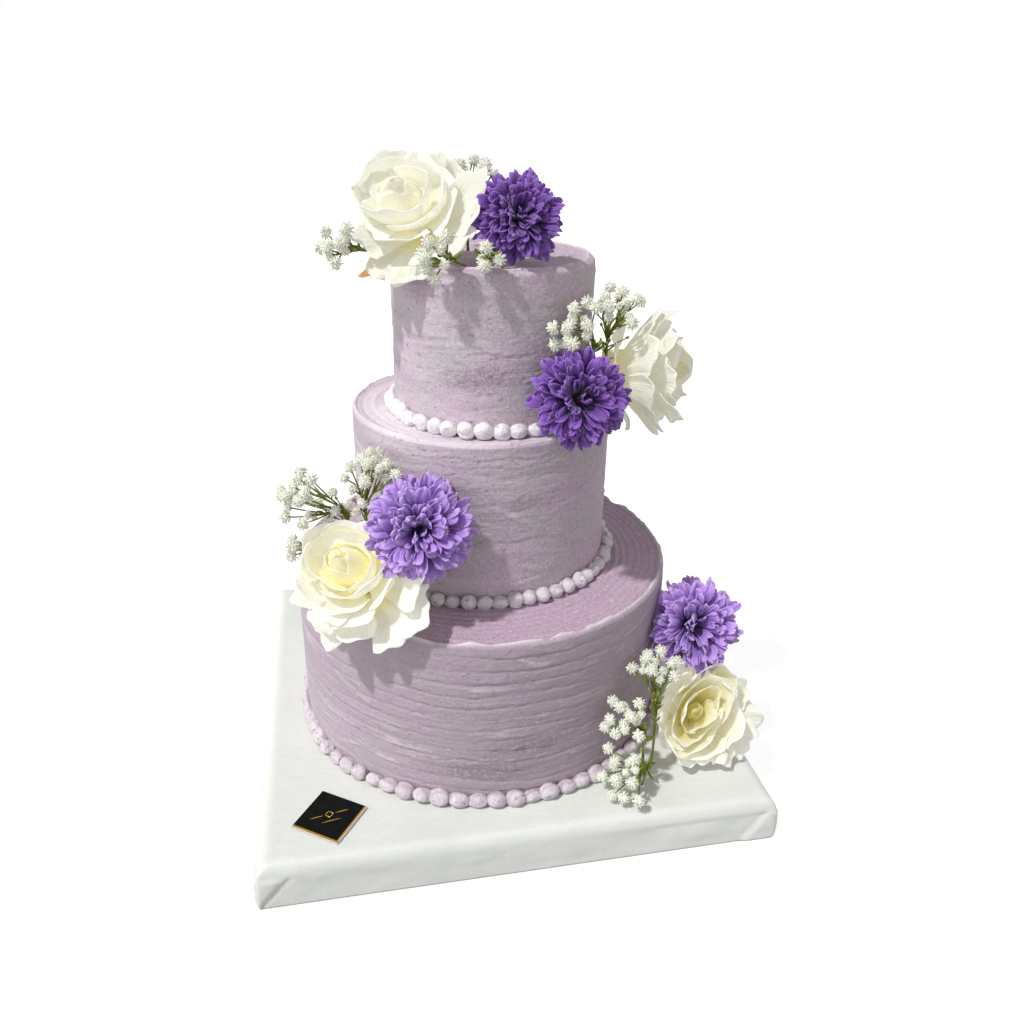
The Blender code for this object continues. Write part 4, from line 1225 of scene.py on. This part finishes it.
# painted light: the fine white fibres glow a little, standing for light that comes through them
blossomLook = {"roughness": 0.6, "specular": 0.3, "clouds": (300, 2), "grain": (2200, 2, 0.05),
               "tints": ((0.66, 0.68, 0.585), (0.81, 0.82, 0.74)), "glow": 0.14,
               "sockets": {"Subsurface Weight": 0.2, "Subsurface Scale": 1.0 * mm}}
stalkLook = {"roughness": 0.5, "specular": 0.4, "clouds": (130, 3), "grain": (900, 2, 0.1),
             "tints": ((0.11, 0.15, 0.012), (0.30, 0.34, 0.05))}


# the small black card with its gold edge

cardSize = {"centre": (-110.9, -118.4), "base": 27.8, "side": 30.6, "thick": 1.0, "turn": -34.6, "band": 1.5}
cardLooks = {
    "pale_card_edge": {"roughness": 0.6, "specular": 0.3, "clouds": (500, 3), "grain": (1800, 2, 0.04),
                       "tints": ((0.50, 0.51, 0.50), (0.62, 0.62, 0.60))},
    "black_card_face": {"roughness": 0.5, "specular": 0.1, "clouds": (240, 3), "grain": (1500, 3, 0.03),
                        "tints": ((0.0015, 0.0030, 0.0020), (0.005, 0.007, 0.006))},
    "gold_foil": {"roughness": 0.32, "specular": 0.5, "clouds": (700, 3), "grain": (1500, 3, 0.04),
                  "tints": ((0.55, 0.30, 0.035), (0.75, 0.45, 0.07)), "sockets": {"Metallic": 0.7}},
}


def addPlate(bunch, x0, y0, x1, y1, low, high, toWorld, finish, bevel=0.12):
    # a thin plate with a small bevel round its top
    def ring(shrink, level):
        corners = [(x0 + shrink, y0 + shrink), (x1 - shrink, y0 + shrink),
                   (x1 - shrink, y1 - shrink), (x0 + shrink, y1 - shrink)]
        return [toWorld(x, y, level) for x, y in corners]

    rings = [ring(0, low), ring(0, high - bevel), ring(bevel * 0.4, high - bevel * 0.3), ring(bevel, high)]
    addGrid(bunch, np.array(rings), finish, wrap=True, closeStart=True, closeEnd=True)


def addRibbon(bunch, path, width, level, toWorld, finish):
    # a raised foil line along a flat path, thinner at its ends
    path = np.asarray(path, float)
    ways = np.gradient(path, axis=0)
    ways = ways / np.linalg.norm(ways, axis=1)[:, None]
    sides = np.stack([-ways[:, 1], ways[:, 0]], axis=-1)
    swell = width * (0.25 + 0.75 * np.sin(np.linspace(0, math.pi, len(path))))
    rows = []
    for point, side, half in zip(path, sides, swell):
        rows.append([toWorld(*(point + side * half * share), level + rise)
                     for share, rise in ((1, 0), (0.4, 0.06), (-0.4, 0.06), (-1, 0))])
    addGrid(bunch, np.array(rows), finish)


def makeCard(finishes):
    stock, black, gold = range(3)   # places in the list of finishes
    turn = math.radians(cardSize["turn"])
    half, band = cardSize["side"] / 2, cardSize["band"]
    low, high = cardSize["base"], cardSize["base"] + cardSize["thick"]

    def toWorld(x, y, level):
        return np.array([cardSize["centre"][0] + x * math.cos(turn) - y * math.sin(turn),
                         cardSize["centre"][1] + x * math.sin(turn) + y * math.cos(turn), level])

    # the ornament runs from corner to corner
    def onDiagonal(x, y):
        return np.stack([(x - y) / math.sqrt(2), (x + y) / math.sqrt(2)], axis=-1)

    bunch = newBunch()
    addPlate(bunch, -half, -half, half, half, low, high - 0.12, toWorld, stock)
    tucked, inner = high - 0.2, half - 0.1
    addPlate(bunch, -inner, -half + band, half - band, inner, tucked, high, toWorld, black, 0.05)
    addPlate(bunch, -inner, -inner, inner, -half + band, tucked, high - 0.02, toWorld, gold, 0.05)
    addPlate(bunch, half - band, -half + band, half - 0.5, inner, tucked, high - 0.02, toWorld, gold, 0.05)
    # a lozenge between two lines, over a shorter line
    steps = np.linspace(0, 1, 12)
    for mirror in (-1, 1):
        addRibbon(bunch, onDiagonal(mirror * (3.6 + 7.4 * steps), 1.6 + 0 * steps), 0.34, high, toWorld, gold)
        for over in (-1, 1):
            side = onDiagonal(mirror * 2.4 * steps, 1.6 + over * 2.4 * (1 - steps))
            addRibbon(bunch, side, 0.3, high, toWorld, gold)
    addRibbon(bunch, onDiagonal(5.4 * (2 * steps - 1), -3.6 + 0 * steps), 0.34, high, toWorld, gold)
    piece = makePiece("card_face", bunch, "card", finishes)
    for polygon in piece.data.polygons:
        polygon.use_smooth = False
    print("made the card")


# studio: a lit pale floor, a key from the upper left, a wide side light, a faint fill, white surroundings

# each lamp has its strength, how wide it looks in degrees, its tint and the way towards it
lamps = {"key": (2.55, 2.6, (1.0, 0.99, 0.965), (-0.475, -0.25, 0.844)),
         "side": (0.88, 60.0, (1, 1, 1), (-0.88, -0.40, 0.25)),
         "fill": (0.13, 60.0, (1, 0.98, 0.97), (0.92, -0.30, 0.20))}
studio = {"sky": 0.415, "ground": 0.245, "floorSize": 70.0, "floorDrop": 0.0005}   # the floor in metres
cameraSet = {"place": (-0.0895266, -0.508757, 0.405153), "turnRight": 0.2047, "tiltDown": 0.4465,
             "roll": 0.0226, "lens": 30.9234}


# a lit table, so that shadows stay faint
floorLook = {"roughness": 0.9, "specular": 0.1, "clouds": (3, 2),
             "tints": ((0.40, 0.40, 0.40), (0.42, 0.42, 0.42)),
             "sockets": {"Emission Color": (1, 1, 1, 1), "Emission Strength": 0.8}}


def makeFloor():
    size = studio["floorSize"]
    corners = [(-size, -size, 0), (size, -size, 0), (size, size, 0), (-size, size, 0)]
    mesh = bpy.data.meshes.new("floor")
    mesh.from_pydata(corners, [], [(0, 1, 2, 3)])
    mesh.materials.append(mottledFinish("pale_floor", floorLook))
    floor = bpy.data.objects.new("floor", mesh)
    bpy.context.scene.collection.objects.link(floor)
    floor.location.z = -studio["floorDrop"]
    floor.visible_diffuse = False   # the bounce from below comes from the surroundings, so it can be set


def addLamp(name, strength, angle, tint, towards):
    lamp = bpy.data.lights.new(name, "SUN")
    lamp.energy = strength
    lamp.angle = math.radians(angle)
    lamp.color = tint
    holder = bpy.data.objects.new(name, lamp)
    holder.rotation_euler = Vector(towards).to_track_quat("Z", "Y").to_euler()
    bpy.context.scene.collection.objects.link(holder)


def makeLight():
    for name, lamp in lamps.items():
        addLamp(name, *lamp)
    world = bpy.data.worlds.new("studio")
    bpy.context.scene.world = world
    world.use_nodes = True
    tree = world.node_tree
    background = tree.nodes["Background"]
    place = tree.nodes.new("ShaderNodeTexCoord")
    split = tree.nodes.new("ShaderNodeSeparateXYZ")
    ramp = tree.nodes.new("ShaderNodeValToRGB")
    tree.links.new(place.outputs["Generated"], split.inputs[0])
    height = tree.nodes.new("ShaderNodeMapRange")
    height.inputs[1].default_value = -1
    tree.links.new(split.outputs[2], height.inputs[0])
    tree.links.new(height.outputs[0], ramp.inputs[0])
    ground, sky = studio["ground"], studio["sky"]
    # grey below, a white band at the level of the backdrop, then the soft sky
    stops = ((0.0, ground), (0.47, ground), (0.49, 1.0), (0.55, 1.0), (0.72, sky), (1.0, sky * 0.9))
    while len(ramp.color_ramp.elements) < len(stops):
        ramp.color_ramp.elements.new(0.5)
    for element, (position, grey) in zip(ramp.color_ramp.elements, stops):
        element.position = position
        element.color = (1, 1, 1, 1) if grey == 1.0 else (grey, grey * 0.995, grey * 0.975, 1)
    tree.links.new(ramp.outputs[0], background.inputs[0])


def makeCamera():
    yaw, tilt, roll = cameraSet["turnRight"], cameraSet["tiltDown"], cameraSet["roll"]
    ahead = Vector((math.sin(yaw) * math.cos(tilt), math.cos(yaw) * math.cos(tilt), -math.sin(tilt)))
    level = Vector((math.cos(yaw), -math.sin(yaw), 0))
    upright = level.cross(ahead)
    right = math.cos(roll) * level + math.sin(roll) * upright
    up = -math.sin(roll) * level + math.cos(roll) * upright
    lens = bpy.data.cameras.new("camera")
    lens.lens = cameraSet["lens"]
    lens.sensor_width = 36
    camera = bpy.data.objects.new("camera", lens)
    turn = Matrix((right, up, -ahead)).transposed().to_4x4()
    camera.matrix_world = Matrix.Translation(cameraSet["place"]) @ turn
    bpy.context.scene.collection.objects.link(camera)
    bpy.context.scene.camera = camera


# build everything

makeCamera()
makeLight()
makeFloor()
bpy.context.scene.view_settings.view_transform = "Standard"

lavender = icingFinish("lavender_buttercream", lavenderLook)
for number, (name, tier) in enumerate(tiers.items()):
    makeTier(name, tier, 40 + number * 20, lavender)
pearlIcing = icingFinish("pearl_buttercream", pearlLook)
for name, pearls in pearlRows.items():
    makePearls(name, pearls, pearlIcing)
makeBoard(paperFinish())
silk = silkFinish(silkLook)
green = mottledFinish("green_stalk", stalkLook)
for number, (name, rose) in enumerate(roses.items()):
    makeRose(name, rose, 500 + number * 100, silk, green)
violets = {kind: violetFinish(kind + "_violet_silk", look) for kind, look in mumLooks.items()}
for number, (name, mum) in enumerate(mums.items()):
    makeMum(name, mum, 900 + number * 17, violets[mum["petals"]])
white = mottledFinish("white_blossom", blossomLook)
for number, (name, sprig) in enumerate(sprigs.items()):
    makeSprig(name, sprig, 1200 + number, white, green)
makeCard([mottledFinish(name, look) for name, look in cardLooks.items()])
